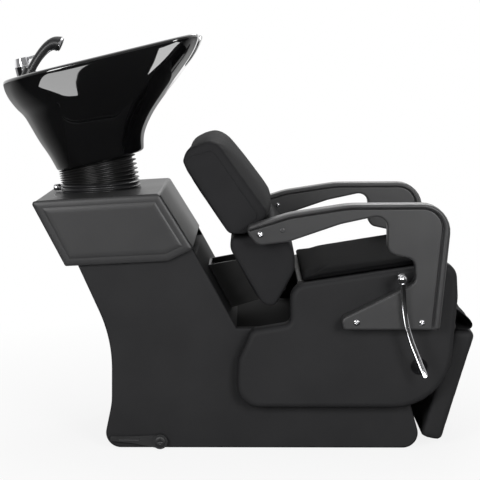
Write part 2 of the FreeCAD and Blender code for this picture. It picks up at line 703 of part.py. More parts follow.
face_way_angle = math.radians(handset_lean + face_row[3])
face_way = Vec(math.sin(face_way_angle), 0, math.cos(face_way_angle))
face_disc = Part.makeCylinder(handset_radius * face_row[2] - face_inset, face_thickness, centre, face_way)
pieces["handset_face"] = face_disc.transformed(bowl_frame)

# Tilt hinge: a plate with ears on the head box, a cradle with ears under the bowl, two pins
tilt_base = Part.makeCylinder(tilt_plate_radius, tilt_plate_thickness)
tilt_base = tilt_base.cut(Part.makeCylinder(head_hole_radius, tilt_plate_thickness))
outer_ear = ear_offset + ear_thickness + ear_gap
ear = slab(-ear_radius, ear_radius, outer_ear, outer_ear + ear_thickness, 0, pivot_height)
ear = ear.fuse(rod_y(0, pivot_height, ear_radius, outer_ear, outer_ear + ear_thickness))
tilt_base = tilt_base.fuse([ear, mirrored(ear)])
pin_hole = rod_y(0, pivot_height, tilt_pin_radius, -base_half, base_half)
pieces["tilt_base"] = tilt_base.cut(pin_hole).removeSplitter().transformed(head_frame)
cradle = Part.makeCylinder(cradle_radius, tilt_plate_thickness, Vec(0, 0, bowl_rise - tilt_plate_thickness))
cradle = cradle.cut(Part.makeCylinder(cradle_hole_radius, bowl_rise))
inner_ear = slab(-ear_radius, ear_radius, ear_offset, ear_offset + ear_thickness, 0, bowl_rise)
inner_ear = inner_ear.fuse(rod_y(0, 0, ear_radius, ear_offset, ear_offset + ear_thickness))
cradle = cradle.fuse([inner_ear, mirrored(inner_ear)])
cradle_bore = rod_y(0, 0, tilt_pin_radius + running_gap, -base_half, base_half)
pieces["tilt_cradle"] = cradle.cut(cradle_bore).removeSplitter().transformed(pivot_frame)
tilt_pin = rod_y(0, 0, tilt_pin_radius, ear_offset - tilt_pin_head, outer_ear + ear_thickness)
pin_top = rod_y(0, 0, tilt_pin_head_radius, outer_ear + ear_thickness, outer_ear + ear_thickness + tilt_pin_head)
tilt_pin = tilt_pin.fuse(pin_top).removeSplitter().transformed(pivot_frame)
pieces["tilt_pins"] = both_sides(tilt_pin)

# Collar ring on the head box with the tilt lock screw through its rear wall
collar = Part.makeCylinder(ring_outer_radius, ring_height).cut(Part.makeCylinder(ring_inner_radius, ring_height))
lock_way = Vec(-1, 0, 0)
lock_hole = Part.makeCylinder(lock_stem_radius + running_gap, base_half, Vec(0, 0, lock_height), lock_way)
pieces["collar_ring"] = collar.cut(lock_hole).transformed(head_frame)
lock_start = ring_inner_radius - lock_bite / 2
lock_stem = Part.makeCylinder(lock_stem_radius, ring_outer_radius - lock_start + lock_bite,
                              Vec(-lock_start, 0, lock_height), lock_way)
lock_knob = Part.makeCylinder(lock_knob_radius, lock_knob_length,
                              Vec(-ring_outer_radius - lock_knob_gap, 0, lock_height), lock_way)
pieces["tilt_lock_screw"] = lock_stem.fuse(lock_knob).removeSplitter().transformed(head_frame)

# Bellows: ribs on rings that fan out from the head box's pitch to the bowl's
bellows_low = head_seat + shift_along(head_pitch, 0, ring_height)
bellows_high = pivot + shift_along(bowl_pitch, 0, bowl_rise - soft_gap)


def bellows_ring(share, radius):
    """Circle at a share of the way from the collar to the bowl."""
    ring = Part.makeCircle(radius)
    centre = bellows_low + (bellows_high - bellows_low) * share
    pitch = head_pitch + (bowl_pitch - head_pitch) * share
    ring.Placement = FreeCAD.Placement(centre, FreeCAD.Rotation(Vec(0, 1, 0), -pitch))
    return Part.Wire([ring])


rib_rings = []
bore_rings = []
for rib in range(rib_count):
    for place, swell in rib_shares:
        radius = bellows_valley_radius + swell * (bellows_crest_radius - bellows_valley_radius)
        rib_rings.append(bellows_ring((rib + place) / rib_count, radius))
    bore_rings.append(bellows_ring(rib / rib_count, bellows_bore_radius))
rib_rings.append(bellows_ring(1.0, bellows_valley_radius))
bore_rings.append(bellows_ring(1.0, bellows_bore_radius))
pieces["bellows"] = Part.makeLoft(rib_rings, True, True).cut(Part.makeLoft(bore_rings, True, True))

# Waste hose: straight inside the column, from the bowl's tail to the outlet
tail_end = bowl_origin - shift_along(bowl_pitch, 0, waste_length)
tail_way = shift_along(bowl_pitch, 0, hose_stub)
hose_points = [tail_end + tail_way, tail_end - tail_way, Vec(outlet_x, 0, outlet_top + hose_stub),
               Vec(outlet_x, 0, outlet_top - hose_stub)]


def tube_fill(radius):
    """Solid of straight runs along the hose with a ball at each bend."""
    solid = Part.makeSphere(radius, hose_points[1]).fuse(Part.makeSphere(radius, hose_points[2]))
    for start, end in zip(hose_points, hose_points[1:]):
        solid = solid.fuse(Part.makeCylinder(radius, (end - start).Length, start, end - start))
    return solid.removeSplitter()


hose_bore = waste_outer + soft_gap
pieces["waste_hose"] = tube_fill(hose_bore + hose_wall).cut(tube_fill(hose_bore))

# Seat box: capsule panels, board, rail, cushion and front roll
seat_corners = placed_corners(seat_panel_shares, seat_panel_rear, seat_panel_bottom, seat_panel_length,
                              seat_panel_height, seat_panel_length)
seat_rear_top, seat_front_top = seat_corners[4], seat_corners[5]
seat_slope = (seat_front_top[1] - seat_rear_top[1]) / (seat_front_top[0] - seat_rear_top[0])
seat_pitch = math.degrees(math.atan(seat_slope))


def seat_x(share):
    """X at a share of the seat panel's length."""
    return on_seat((share, 0.0))[0]


def seat_top(x):
    """Height of the seat panels' top edge at x."""
    return seat_rear_top[1] + (x - seat_rear_top[0]) * seat_slope


capsule = prism(seat_corners, -seat_outer, -base_half)
capsule = capsule.makeFillet(seat_panel_round, edges_at(capsule, -seat_outer))
tie_hole = rod_y(tie_rod_x, tie_rod_z, tie_rod_radius, -seat_outer - overrun, -base_half + overrun)
capsule = capsule.cut(tie_hole)
pieces["left_seat_panel"] = mirrored(capsule)
shaft_hole = rod_y(shaft_x, shaft_z, shaft_radius + link_gap, -seat_outer - overrun, -base_half + overrun)
pieces["right_seat_panel"] = capsule.cut(shaft_hole)
tie_cap = rod_y(tie_rod_x, tie_rod_z, tie_cap_radius, -seat_outer - tie_cap_height, -seat_outer)
tie_cap = tie_cap.cut(rod_y(tie_rod_x, tie_rod_z, tie_cap_radius - tie_cap_height, -seat_outer - tie_cap_height,
                            -seat_outer - tie_cap_height + tie_cap_dish))
pieces["tie_rod_caps"] = both_sides(tie_cap)
pieces["front_tie_rod"] = rod_y(tie_rod_x, tie_rod_z, tie_rod_radius, -seat_outer, seat_outer)

board_rear, board_front = seat_x(seat_board_shares[0]), seat_x(seat_board_shares[1])
pieces["seat_board"] = prism(
    [(board_rear, seat_top(board_rear) - seat_board_thickness, 0.0),
     (board_front, seat_top(board_front) - seat_board_thickness, 0.0),
     (board_front, seat_top(board_front), 0.0), (board_rear, seat_top(board_rear), 0.0)], -base_half, base_half)
rail_rear, rail_front = seat_x(front_rail_shares[0]), seat_x(front_rail_shares[1])
rail_low = seat_top(rail_rear) - front_rail_depth
pieces["seat_front_rail"] = prism(
    [(rail_rear, rail_low, 0.0), (rail_front, rail_low, 0.0), (rail_front, seat_top(rail_front), 0.0),
     (rail_rear, seat_top(rail_rear), 0.0)], -base_half, base_half)
cushion_corners = []
for along, up, radius, swell in cushion_shares:
    x = seat_x(along)
    cushion_corners.append((x, seat_top(x) + soft_gap + up * cushion_thickness, radius * cushion_thickness))
pieces["seat_cushion"] = crowned_pad(cushion_corners, [row[3] for row in cushion_shares], cushion_half_width,
                                     cushion_crown, seat_pitch + 90.0)
roll_corners = placed_corners(roll_shares, seat_panel_rear, seat_panel_bottom, seat_panel_length, seat_panel_height,
                              seat_panel_length)
pieces["seat_front_roll"] = crowned_pad(roll_corners, [row[3] for row in roll_shares], roll_half_width, roll_crown, 0.0)

# Back rest
back_lean = back_pitch + 90.0


def on_board(along, across):
    """Point of the back board's frame: along it from its foot, across it to the front."""
    offset = shift_along(back_lean, along, -across)
    return back_board_rear + offset.x, back_board_foot + offset.z


def board_outline(margin):
    """Outline of the back board, grown by margin."""
    return [on_board(-margin, -margin) + (0.0,), on_board(back_board_length + margin, -margin) + (0.0,),
            on_board(back_board_length + margin, back_board_thickness + margin) + (0.0,),
            on_board(-margin, back_board_thickness + margin) + (0.0,)]


pieces["back_board"] = prism(board_outline(0.0), -back_board_half_width, back_board_half_width)
board_pocket = prism(board_outline(soft_gap), -back_board_half_width - soft_gap, back_board_half_width + soft_gap)
back_corners = placed_corners(back_shares, back_rear, back_bottom, back_length, back_height, back_height)
back_pad = crowned_pad(back_corners, [row[3] for row in back_shares], back_half_width, back_crown, back_pitch)
pieces["back_cushion"] = back_pad.cut(board_pocket)
lumbar_corners = placed_corners(lumbar_shares, lumbar_rear, lumbar_bottom, lumbar_length, lumbar_height, lumbar_height)
lumbar_pad = crowned_pad(lumbar_corners, [row[3] for row in lumbar_shares], lumbar_half_width, lumbar_crown, 0.0)


def board_rear_face(z):
    """X of the back board's rear face at height z."""
    return back_board_rear - (z - back_board_foot) * math.tan(math.radians(back_pitch))


bracket_corners = [
    (column_face(bracket_low), bracket_low, 0.0), (column_face(bracket_high), bracket_high, 0.0),
    (board_rear_face(bracket_high + board_thickness), bracket_high + board_thickness, 0.0),
    (board_rear_face(back_board_foot), back_board_foot, 0.0), (bracket_nose_x, bracket_nose_z, 0.0)]
bracket_plates = both_sides(prism(bracket_corners, -bracket_half_width, -bracket_half_width + bracket_plate))
bracket_web = [bracket_corners[0], bracket_corners[1],
               (bracket_corners[1][0] + bracket_plate, bracket_corners[1][1], 0.0),
               (bracket_corners[0][0] + bracket_plate, bracket_corners[0][1], 0.0)]
web_inside = prism(bracket_corners, -bracket_half_width, bracket_half_width).common(
    prism(bracket_web, -bracket_half_width, bracket_half_width))
pieces["back_bracket"] = web_inside.fuse(list(bracket_plates.Solids)).removeSplitter()
bracket_slot = prism(inset(bracket_corners, -soft_gap), -bracket_half_width - soft_gap, bracket_half_width + soft_gap)
pieces["lumbar_cushion"] = lumbar_pad.cut(board_pocket).cut(bracket_slot)

# Armrests: a plate with a raised bead along its top and front edge
arm_corners = placed_corners(arm_shares, arm_rear, arm_bottom, arm_length, arm_height, arm_length)
arm_plate = prism(arm_corners, -arm_outer, -seat_outer)
arm_bead = prism(arm_corners, -arm_outer - arm_bead_height, -arm_outer)
arm_bead = arm_bead.cut(prism(inset(arm_corners, arm_bead_width), -arm_outer - arm_bead_height * 2, -arm_outer))
bead_zone = prism([(arm_rear - arm_bead_width, arm_corners[0][1] - arm_bead_width * 2, 0.0)]
                  + [(x, z, 0.0) for x, z, radius in inset(arm_corners, arm_bead_zone)[1:3]]
                  + [(x, z, 0.0) for x, z, radius in inset(arm_corners, arm_bead_zone)[3:5]]
                  + [(arm_rear + arm_length + arm_bead_width, arm_bottom - arm_bead_width, 0.0),
                     (arm_rear + arm_length + arm_bead_width, arm_bottom + arm_height + arm_bead_width, 0.0),
                     (arm_rear - arm_bead_width, arm_bottom + arm_height + arm_bead_width, 0.0)],
                  -arm_outer - arm_bead_height * 2, -arm_outer)
armrest = arm_plate.fuse(arm_bead.common(bead_zone)).removeSplitter()
screws = []
spacers = []
for i, (along, up) in enumerate(arm_screw_shares):
    x, z = arm_rear + along * arm_length, arm_bottom + up * arm_height
    end = -seat_outer + arm_screw_bite if i else -lumbar_half_width - soft_gap
    shank = rod_y(x, z, arm_screw_shank, -arm_outer, end)
    armrest = armrest.cut(rod_y(x, z, arm_screw_shank, -arm_outer - overrun, -seat_outer + overrun))
    head = rod_y(x, z, arm_screw_radius, -arm_outer - arm_screw_head, -arm_outer)
    head = head.makeFillet(arm_screw_head / 2, edges_at(head, -arm_outer - arm_screw_head))
    screws.append(shank.fuse(head).removeSplitter())
    if i:
        for side in ("right_seat_panel", "left_seat_panel"):
            pieces[side] = pieces[side].cut(rod_y(x, z, arm_screw_shank, -arm_outer, end)).cut(
                rod_y(x, z, arm_screw_shank, -end, arm_outer))
    else:
        spacer = rod_y(x, z, spacer_radius, -seat_outer, -lumbar_half_width - soft_gap)
        spacers.append(spacer.cut(shank))
pieces["right_armrest"] = armrest
pieces["left_armrest"] = mirrored(armrest)
pieces["armrest_screws"] = Part.makeCompound(screws + [mirrored(screw) for screw in screws])
pieces["armrest_spacers"] = Part.makeCompound(spacers + [mirrored(spacer) for spacer in spacers])

# Leg-rest drive
shaft_at, hinge_at = (shaft_x, shaft_z), (hinge_x, hinge_z)
crank_turn = math.radians(crank_angle)
crank_reach = (crank_length * math.cos(crank_turn), crank_length * math.sin(crank_turn))
crank_pin = (shaft_x + crank_reach[0], shaft_z + crank_reach[1])
leg_pin = (hinge_x + crank_reach[0], hinge_z + crank_reach[1])
plate = bar_between(shaft_at, hinge_at, plate_eye_radius, plate_eye_radius, -base_half, -base_half + plate_thickness)
plate = plate.cut(rod_y(shaft_x, shaft_z, shaft_radius + running_gap, -base_half, 0))
plate = plate.cut(rod_y(hinge_x, hinge_z, hinge_radius, -base_half, 0))
pieces["mechanism_plates"] = both_sides(plate)
pieces["cross_shaft"] = rod_y(shaft_x, shaft_z, shaft_radius, -lever_plane - lever_thickness - lever_hub_radius,
                              base_half)
pieces["hinge_shaft"] = rod_y(hinge_x, hinge_z, hinge_radius, -base_half, base_half)
crank_end = crank_plane + crank_thickness
stud_start = crank_plane - stud_length
crank = bar_between(shaft_at, crank_pin, crank_hub_radius, crank_eye_radius, -crank_end, -crank_plane)
crank = crank.fuse(rod_y(crank_pin[0], crank_pin[1], stud_radius, -crank_plane, -stud_start)).removeSplitter()
crank = crank.cut(rod_y(shaft_x, shaft_z, shaft_radius, -base_half, 0))
pieces["shaft_cranks"] = both_sides(crank)
link_end = crank_plane - link_gap
link = bar_between(crank_pin, leg_pin, link_radius, link_radius, -link_end, -link_end + link_thickness)
link = link.cut(rod_y(crank_pin[0], crank_pin[1], stud_radius + running_gap, -base_half, 0))
link = link.cut(rod_y(leg_pin[0], leg_pin[1], stud_radius + open_pivot_gap, -base_half, 0))
pieces["push_links"] = both_sides(link)
bar_corners = placed_corners(lever_shares, shaft_x, shaft_z, lever_length, lever_length, lever_length)
lever_outer = lever_plane + lever_thickness
lever_bar = prism(bar_corners, -lever_outer, -lever_plane)
lever_bar = lever_bar.fuse(rod_y(shaft_x, shaft_z, lever_eye_radius, -lever_outer, -lever_plane)).removeSplitter()
pieces["lever_bar"] = lever_bar.cut(rod_y(shaft_x, shaft_z, shaft_radius, -lever_outer, 0))
ball = Part.makeSphere(lever_hub_radius, Vec(shaft_x, -lever_outer - lever_hub_radius / 2, shaft_z))
ball = ball.common(slab(0, base_length, -base_length, -lever_outer, 0, base_length))
pieces["lever_hub"] = ball.cut(pieces["cross_shaft"])

# Leg rest: board, padded front, hinge brackets and the flap that bridges to the seat


def on_leg(down, out):
    """Point of the leg rest's frame: down its rear face from the top, out to the front."""
    offset = Vec(-math.sin(math.radians(leg_pitch)) * down, 0, -math.cos(math.radians(leg_pitch)) * down)
    offset += Vec(math.cos(math.radians(leg_pitch)) * out, 0, -math.sin(math.radians(leg_pitch)) * out)
    return leg_top_x + offset.x, leg_top_z + offset.z


def leg_at_height(out, z):
    """X at height z on the line parallel to the leg rest's rear face, out from it."""
    start = on_leg(0.0, out)
    return start[0] - (start[1] - z) * math.tan(math.radians(leg_pitch))


def leg_outline(near, far, radius):
    """Outline between two depths of the leg rest, cut level at the top."""
    return [(leg_at_height(near, leg_top_z), leg_top_z, 0.0), (leg_at_height(far, leg_top_z), leg_top_z, radius),
            on_leg(leg_length, far) + (radius,), on_leg(leg_length, near) + (0.0,)]


pieces["leg_rest_board"] = prism(leg_outline(0.0, leg_board_thickness, 0.0), -leg_half_width, leg_half_width)
pad_corners = leg_outline(leg_board_thickness + soft_gap, leg_board_thickness + leg_pad_thickness, leg_pad_round)
pad_corners = [(x, z, max(radius, pad_corner_round)) for x, z, radius in pad_corners]
pieces["leg_rest_pad"] = crowned_pad(pad_corners, (0.0, 1.0, 1.0, 0.0), leg_half_width, leg_pad_crown, -leg_pitch)
foot_high, foot_low = [on_leg(share * leg_length, 0.0) for share in bracket_foot_shares]
leg_web = prism([(hinge_x, hinge_z, 0.0), foot_high + (0.0,), foot_low + (0.0,), (leg_pin[0], leg_pin[1], 0.0)],
                -crank_end, -crank_plane)
leg_bracket = leg_web.fuse([rod_y(hinge_x, hinge_z, crank_hub_radius, -crank_end, -crank_plane),
                            rod_y(leg_pin[0], leg_pin[1], crank_eye_radius, -crank_end, -crank_plane),
                            rod_y(leg_pin[0], leg_pin[1], stud_radius, -crank_plane, -stud_start)]).removeSplitter()
leg_bracket = leg_bracket.cut(rod_y(hinge_x, hinge_z, hinge_radius + running_gap, -base_half, 0))
pieces["leg_rest_brackets"] = both_sides(leg_bracket)
flap_rear = roll_corners[3][0] + soft_gap
flap_low = leg_top_z + soft_gap
flap_foot = hinge_x + crank_hub_radius + soft_gap
flap_corners = [(flap_foot, flap_low, 0.0), (flap_rear + flap_reach, flap_low, flap_round / 2),
                (flap_rear + flap_reach, flap_low + flap_rise / 3, flap_round), (flap_rear, flap_low + flap_rise, 0.0)]
flap_hollow = inset(flap_corners, flap_thickness)
flap_hollow = [(flap_rear - overrun, flap_hollow[0][1], 0.0), flap_hollow[1], flap_hollow[2],
               (flap_rear - overrun, flap_hollow[3][1], 0.0)]
pieces["leg_rest_flap"] = prism(flap_corners, -flap_half_width, flap_half_width).cut(
    prism(flap_hollow, -flap_half_width, flap_half_width))

os.makedirs("parts", exist_ok=True)
for name, shape in pieces.items():
    shape.exportStep("parts/" + name + ".step")
    print(name, len(shape.Solids), shape.isValid(), round(shape.Volume / 1000, 1))
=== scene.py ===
import math

import bmesh
import bpy
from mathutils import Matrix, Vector
from mathutils.bvhtree import BVHTree


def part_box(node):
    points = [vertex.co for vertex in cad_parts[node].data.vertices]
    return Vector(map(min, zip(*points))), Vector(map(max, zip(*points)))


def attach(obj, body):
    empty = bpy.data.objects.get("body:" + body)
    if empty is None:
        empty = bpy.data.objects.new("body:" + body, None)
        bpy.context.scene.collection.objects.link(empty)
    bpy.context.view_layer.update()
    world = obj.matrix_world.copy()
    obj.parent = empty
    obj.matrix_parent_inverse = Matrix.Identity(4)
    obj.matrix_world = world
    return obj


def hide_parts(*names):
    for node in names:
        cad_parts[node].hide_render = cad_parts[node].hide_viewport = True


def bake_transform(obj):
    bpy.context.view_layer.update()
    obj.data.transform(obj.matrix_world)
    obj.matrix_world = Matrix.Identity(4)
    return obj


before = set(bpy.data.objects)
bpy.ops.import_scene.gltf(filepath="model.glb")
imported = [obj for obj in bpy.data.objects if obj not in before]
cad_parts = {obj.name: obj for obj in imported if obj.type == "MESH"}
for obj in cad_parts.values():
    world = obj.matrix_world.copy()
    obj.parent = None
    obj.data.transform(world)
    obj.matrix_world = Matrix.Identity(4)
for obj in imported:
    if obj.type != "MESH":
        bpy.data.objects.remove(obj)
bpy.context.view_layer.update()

# Studio: a white floor and backdrop, three soft boxes, an overhead panel and two cards on the floor
# that show only in the glaze and the lever, and a long lens at chest height, square to the unit's side.
scene = bpy.context.scene
scene.view_settings.view_transform = "Standard"
camera_data = bpy.data.cameras.new("camera")
camera_data.lens = 111.6
camera_data.sensor_width = 36.0
camera = bpy.data.objects.new("camera", camera_data)
camera.location = (-0.0303, -3.70, 0.941)
camera_dip, camera_swing = 7.13, 0.39
camera.rotation_euler = (math.radians(90 - camera_dip), 0, math.radians(camera_swing))
scene.collection.objects.link(camera)
scene.camera = camera

soft_boxes = {
    "left_box": ((-1.7, -3.3, 1.55), (-0.25, -0.2, 0.6), 1.1, 1.3, 60.0),
    "right_box": ((1.5, -3.4, 1.5), (0.2, -0.2, 0.55), 1.0, 1.4, 60.0),
    "rear_box": ((0.8, 2.4, 2.6), (-0.1, 0.1, 0.5), 1.4, 1.0, 26.0),
    "top_panel": ((-0.2, 0.2, 2.9), (0, 0, 0.5), 2.4, 1.6, 10.0),
    "left_card": ((-0.70, -0.985, 0.02), (-0.70, -0.94, 1.0), 0.68, 1.03, 8.6),
    "right_card": ((0.46, -1.00, 0.02), (0.46, -0.95, 1.0), 1.08, 0.8, 15.0),
}
card_glow = bpy.data.collections.new("card_glow")
for name, (place, aim, width, height, power) in soft_boxes.items():
    lamp = bpy.data.lights.new(name, "AREA")
    lamp.shape = "RECTANGLE"
    lamp.size = width
    lamp.size_y = height
    lamp.energy = power
    lamp_object = bpy.data.objects.new(name, lamp)
    lamp_object.location = place
    lamp_object.rotation_euler = (Vector(aim) - Vector(place)).to_track_quat("-Z", "Y").to_euler()
    lamp_object.visible_camera = False
    if name.endswith("card"):
        lamp_object.visible_diffuse = False
        lamp_object.light_linking.receiver_collection = card_glow
    scene.collection.objects.link(lamp_object)


def joined(tree, operation, first, second):
    """Output of a Math node on two sockets or numbers."""
    node = tree.nodes.new("ShaderNodeMath")
    node.operation = operation
    for socket, value in zip(node.inputs, (first, second)):
        if isinstance(value, float):
            socket.default_value = value
        else:
            tree.links.new(value, socket)
    return node.outputs[0]


def ramp(tree, value, start, end, low, high):
    """Output of a Map Range node: low where the value is start, high where it is end."""
    node = tree.nodes.new("ShaderNodeMapRange")
    for socket, number in zip(("From Min", "From Max", "To Min", "To Max"), (start, end, low, high)):
        node.inputs[socket].default_value = number
    tree.links.new(value, node.inputs["Value"])
    return node.outputs["Result"]


world = bpy.data.worlds.new("studio")
scene.world = world
world.use_nodes = True
sky = world.node_tree
sky.nodes.clear()
sky_ray = sky.nodes.new("ShaderNodeLightPath").outputs
sky_way = sky.nodes.new("ShaderNodeTexCoord").outputs["Generated"]
sky_split = sky.nodes.new("ShaderNodeSeparateXYZ")
sky.links.new(sky_way, sky_split.inputs[0])
backdrop = ramp(sky, sky_split.outputs["Y"], -0.35, 0.35, 0.10, 1.0)
shown = joined(sky, "MAXIMUM", sky_ray["Is Camera Ray"], sky_ray["Is Transmission Ray"])
mirrored = joined(sky, "MULTIPLY", sky_ray["Is Glossy Ray"], backdrop)
ambient = 0.26
strength = joined(sky, "MAXIMUM", joined(sky, "MAXIMUM", shown, mirrored), ambient)
background = sky.nodes.new("ShaderNodeBackground")
background.inputs["Color"].default_value = (1, 1, 1, 1)
sky.links.new(strength, background.inputs["Strength"])
sky_output = sky.nodes.new("ShaderNodeOutputWorld")
sky.links.new(background.outputs[0], sky_output.inputs["Surface"])

half_floor = 15.0
floor_corners = [(x * half_floor, y * half_floor, 0) for x, y in ((-1, -1), (1, -1), (1, 1), (-1, 1))]
floor_mesh = bpy.data.meshes.new("floor")
floor_mesh.from_pydata(floor_corners, [], [(0, 1, 2, 3)])
floor = bpy.data.objects.new("floor", floor_mesh)
scene.collection.objects.link(floor)
floor_paint = bpy.data.materials.new("floor_paint")
floor_paint.use_nodes = True
paint = floor_paint.node_tree
paint.nodes.clear()
paint_ray = paint.nodes.new("ShaderNodeLightPath").outputs
paint_place = paint.nodes.new("ShaderNodeTexCoord").outputs["Object"]
paint_far = paint.nodes.new("ShaderNodeVectorMath")
paint_far.operation = "LENGTH"
paint.links.new(paint_place, paint_far.inputs[0])
paint_split = paint.nodes.new("ShaderNodeSeparateXYZ")
paint.links.new(paint_place, paint_split.inputs[0])
white_fade = ramp(paint, paint_far.outputs["Value"], 0.5, 1.6, 0.86, 1.0)
white_share = joined(paint, "MULTIPLY", paint_ray["Is Camera Ray"], white_fade)
# Near the unit the floor turns near-black to glossy rays only: a painted dark reflection in the glaze and the
# chrome; the camera and the lamps' bounces still see it white.
dark_fade = ramp(paint, paint_split.outputs["Y"], 1.2, -0.2, 0.0, 0.97)
dark_share = joined(paint, "MULTIPLY", dark_fade, paint_ray["Is Glossy Ray"])
coats = []
for kind, tone in (("BsdfDiffuse", 0.88), ("Emission", 1.0), ("BsdfDiffuse", 0.01)):
    coat = paint.nodes.new("ShaderNode" + kind)
    coat.inputs["Color"].default_value = (tone, tone, tone, 1)
    coats.append(coat.outputs[0])
floor_shade = coats[0]
for share, coat in ((white_share, coats[1]), (dark_share, coats[2])):
    covered = paint.nodes.new("ShaderNodeMixShader")
    for socket, value in zip(covered.inputs, (share, floor_shade, coat)):
        paint.links.new(value, socket)
    floor_shade = covered.outputs[0]
paint_output = paint.nodes.new("ShaderNodeOutputMaterial")
paint.links.new(floor_shade, paint_output.inputs["Surface"])
floor_mesh.materials.append(floor_paint)

# Base: two tall side panels and the boards between them, plywood wrapped in matte charcoal vinyl
# that is stapled on the inside. The panels stand on four nylon glides under two floor rails.
grain = bpy.data.node_groups.new("surface_grain", "ShaderNodeTree")
for socket in ("Pore Scale", "Cloud Scale"):
    grain.interface.new_socket(name=socket, in_out="INPUT", socket_type="NodeSocketFloat")
for socket in ("Height", "Cloud"):
    grain.interface.new_socket(name=socket, in_out="OUTPUT", socket_type="NodeSocketFloat")
grain_in = grain.nodes.new("NodeGroupInput")
grain_out = grain.nodes.new("NodeGroupOutput")
grain_place = grain.nodes.new("ShaderNodeTexCoord")
grain_pores = grain.nodes.new("ShaderNodeTexVoronoi")
grain_pores.feature = "SMOOTH_F1"
grain_pores.inputs["Smoothness"].default_value = 0.35
grain_cloud = grain.nodes.new("ShaderNodeTexNoise")
grain_cloud.inputs["Detail"].default_value = 4.0
grain.links.new(grain_place.outputs["Object"], grain_pores.inputs["Vector"])
grain.links.new(grain_place.outputs["Object"], grain_cloud.inputs["Vector"])
grain.links.new(grain_in.outputs["Pore Scale"], grain_pores.inputs["Scale"])
grain.links.new(grain_in.outputs["Cloud Scale"], grain_cloud.inputs["Scale"])
grain.links.new(grain_pores.outputs["Distance"], grain_out.inputs["Height"])
grain.links.new(grain_cloud.outputs["Fac"], grain_out.inputs["Cloud"])


def finish(name, dark, light, roughness, spread, pores, cloud, depth, metallic=0.0, specular=0.5):
    """Material whose colour and roughness drift with the cloud and whose surface has fine pores."""
    material = bpy.data.materials.new(name)
    material.use_nodes = True
    nodes, links = material.node_tree.nodes, material.node_tree.links
    surface = nodes["Principled BSDF"]
    surface.inputs["Metallic"].default_value = metallic
    surface.inputs["Specular IOR Level"].default_value = specular
    pattern = nodes.new("ShaderNodeGroup")
    pattern.node_tree = grain
    pattern.inputs["Pore Scale"].default_value = pores
    pattern.inputs["Cloud Scale"].default_value = cloud
    colour = nodes.new("ShaderNodeMix")
    colour.data_type = "RGBA"
    colour.inputs["A"].default_value = (*dark, 1)
    colour.inputs["B"].default_value = (*light, 1)
    links.new(pattern.outputs["Cloud"], colour.inputs["Factor"])
    links.new(colour.outputs["Result"], surface.inputs["Base Color"])
    rough = ramp(material.node_tree, pattern.outputs["Cloud"], 0.0, 1.0, roughness - spread,
                 roughness + spread)
    links.new(rough, surface.inputs["Roughness"])
    bump = nodes.new("ShaderNodeBump")
    bump.inputs["Strength"].default_value = 0.35
    bump.inputs["Distance"].default_value = depth
    links.new(pattern.outputs["Height"], bump.inputs["Height"])
    links.new(bump.outputs["Normal"], surface.inputs["Normal"])
    return material


def dress(material, *names):
    """Gives CAD nodes their finish."""
    for name in names:
        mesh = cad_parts[name].data
        mesh.materials.clear()
        mesh.materials.append(material)


panel_vinyl = finish("panel_vinyl", (0.015, 0.015, 0.016), (0.024, 0.024, 0.025), 0.60, 0.05, 850.0, 9.0,
                     0.00025, specular=0.16)
dress(panel_vinyl, "right_side_panel", "left_side_panel", "rear_cover", "toe_board", "column_front_board",
      "back_board")
# The seat deck gets a near-black copy of the panel vinyl: painted shade for the shadow under the seat between
# the panels.
deck_painted_shade = finish("deck_painted_shade", (0.002, 0.002, 0.002), (0.004, 0.004, 0.004), 0.70, 0.05, 850.0, 9.0,
                    0.00025, specular=0.04)
dress(deck_painted_shade, "seat_deck")
plywood = finish("plywood", (0.30, 0.21, 0.13), (0.48, 0.36, 0.23), 0.7, 0.08, 260.0, 28.0, 0.0004)
dress(plywood, "service_shelf")
stained_board = finish("stained_board", (0.010, 0.009, 0.008), (0.020, 0.018, 0.016), 0.62, 0.06, 260.0,
                       28.0, 0.0004)
dress(stained_board, "seat_board", "seat_front_rail", "floor_rails")
glide_nylon = finish("glide_nylon", (0.02, 0.02, 0.02), (0.03, 0.03, 0.03), 0.4, 0.06, 1500.0, 60.0, 0.0001)
dress(glide_nylon, "floor_glides")

# Plumbing inside the base: a brass stop valve and elbow with risers, a white waste outlet and a
# ribbed drain hose. The valve's handle is moulded plastic.
brass = finish("brass", (0.42, 0.30, 0.12), (0.62, 0.46, 0.20), 0.32, 0.08, 1200.0, 30.0, 0.00012,
               metallic=1.0)
dress(brass, "stop_valve_body", "hot_elbow", "cold_riser", "hot_riser")
pipe_plastic = finish("pipe_plastic", (0.70, 0.70, 0.68), (0.80, 0.80, 0.78), 0.42, 0.05, 1400.0, 20.0,
                      0.0001)
dress(pipe_plastic, "waste_outlet", "waste_nut")
moulded_plastic = finish("moulded_plastic", (0.008, 0.008, 0.009), (0.014, 0.014, 0.015), 0.33, 0.06,
                         1800.0, 40.0, 0.00012)
dress(moulded_plastic, "armrest_spacers", "handset_socket")
valve_plastic = finish("valve_plastic", (0.018, 0.018, 0.019), (0.026, 0.026, 0.027), 0.42, 0.06, 1600.0,
                       30.0, 0.00015)
dress(valve_plastic, "stop_valve_lever")


def add_piece(name, points, faces, material, body):
    """New smooth mesh that rides on a body and takes its finish from a material slot."""
    mesh = bpy.data.meshes.new(name)
    mesh.from_pydata([tuple(point) for point in points], [], faces)
    tidy = bmesh.new()
    tidy.from_mesh(mesh)
    bmesh.ops.recalc_face_normals(tidy, faces=tidy.faces)
    tidy.to_mesh(mesh)
    tidy.free()
    mesh.materials.append(material)
    mesh.shade_smooth()
    piece = bpy.data.objects.new(name, mesh)
    scene.collection.objects.link(piece)
    if body:
        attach(piece, body)
    return piece


def ring_faces(rings, columns, is_closed=True):
    """Quads between neighbouring rings of points."""
    faces = []
    for ring in range(rings - 1):
        for i in range(columns if is_closed else columns - 1):
            j = (i + 1) % columns
            low, high = ring * columns, (ring + 1) * columns
            faces.append((low + i, low + j, high + j, high + i))
    return faces


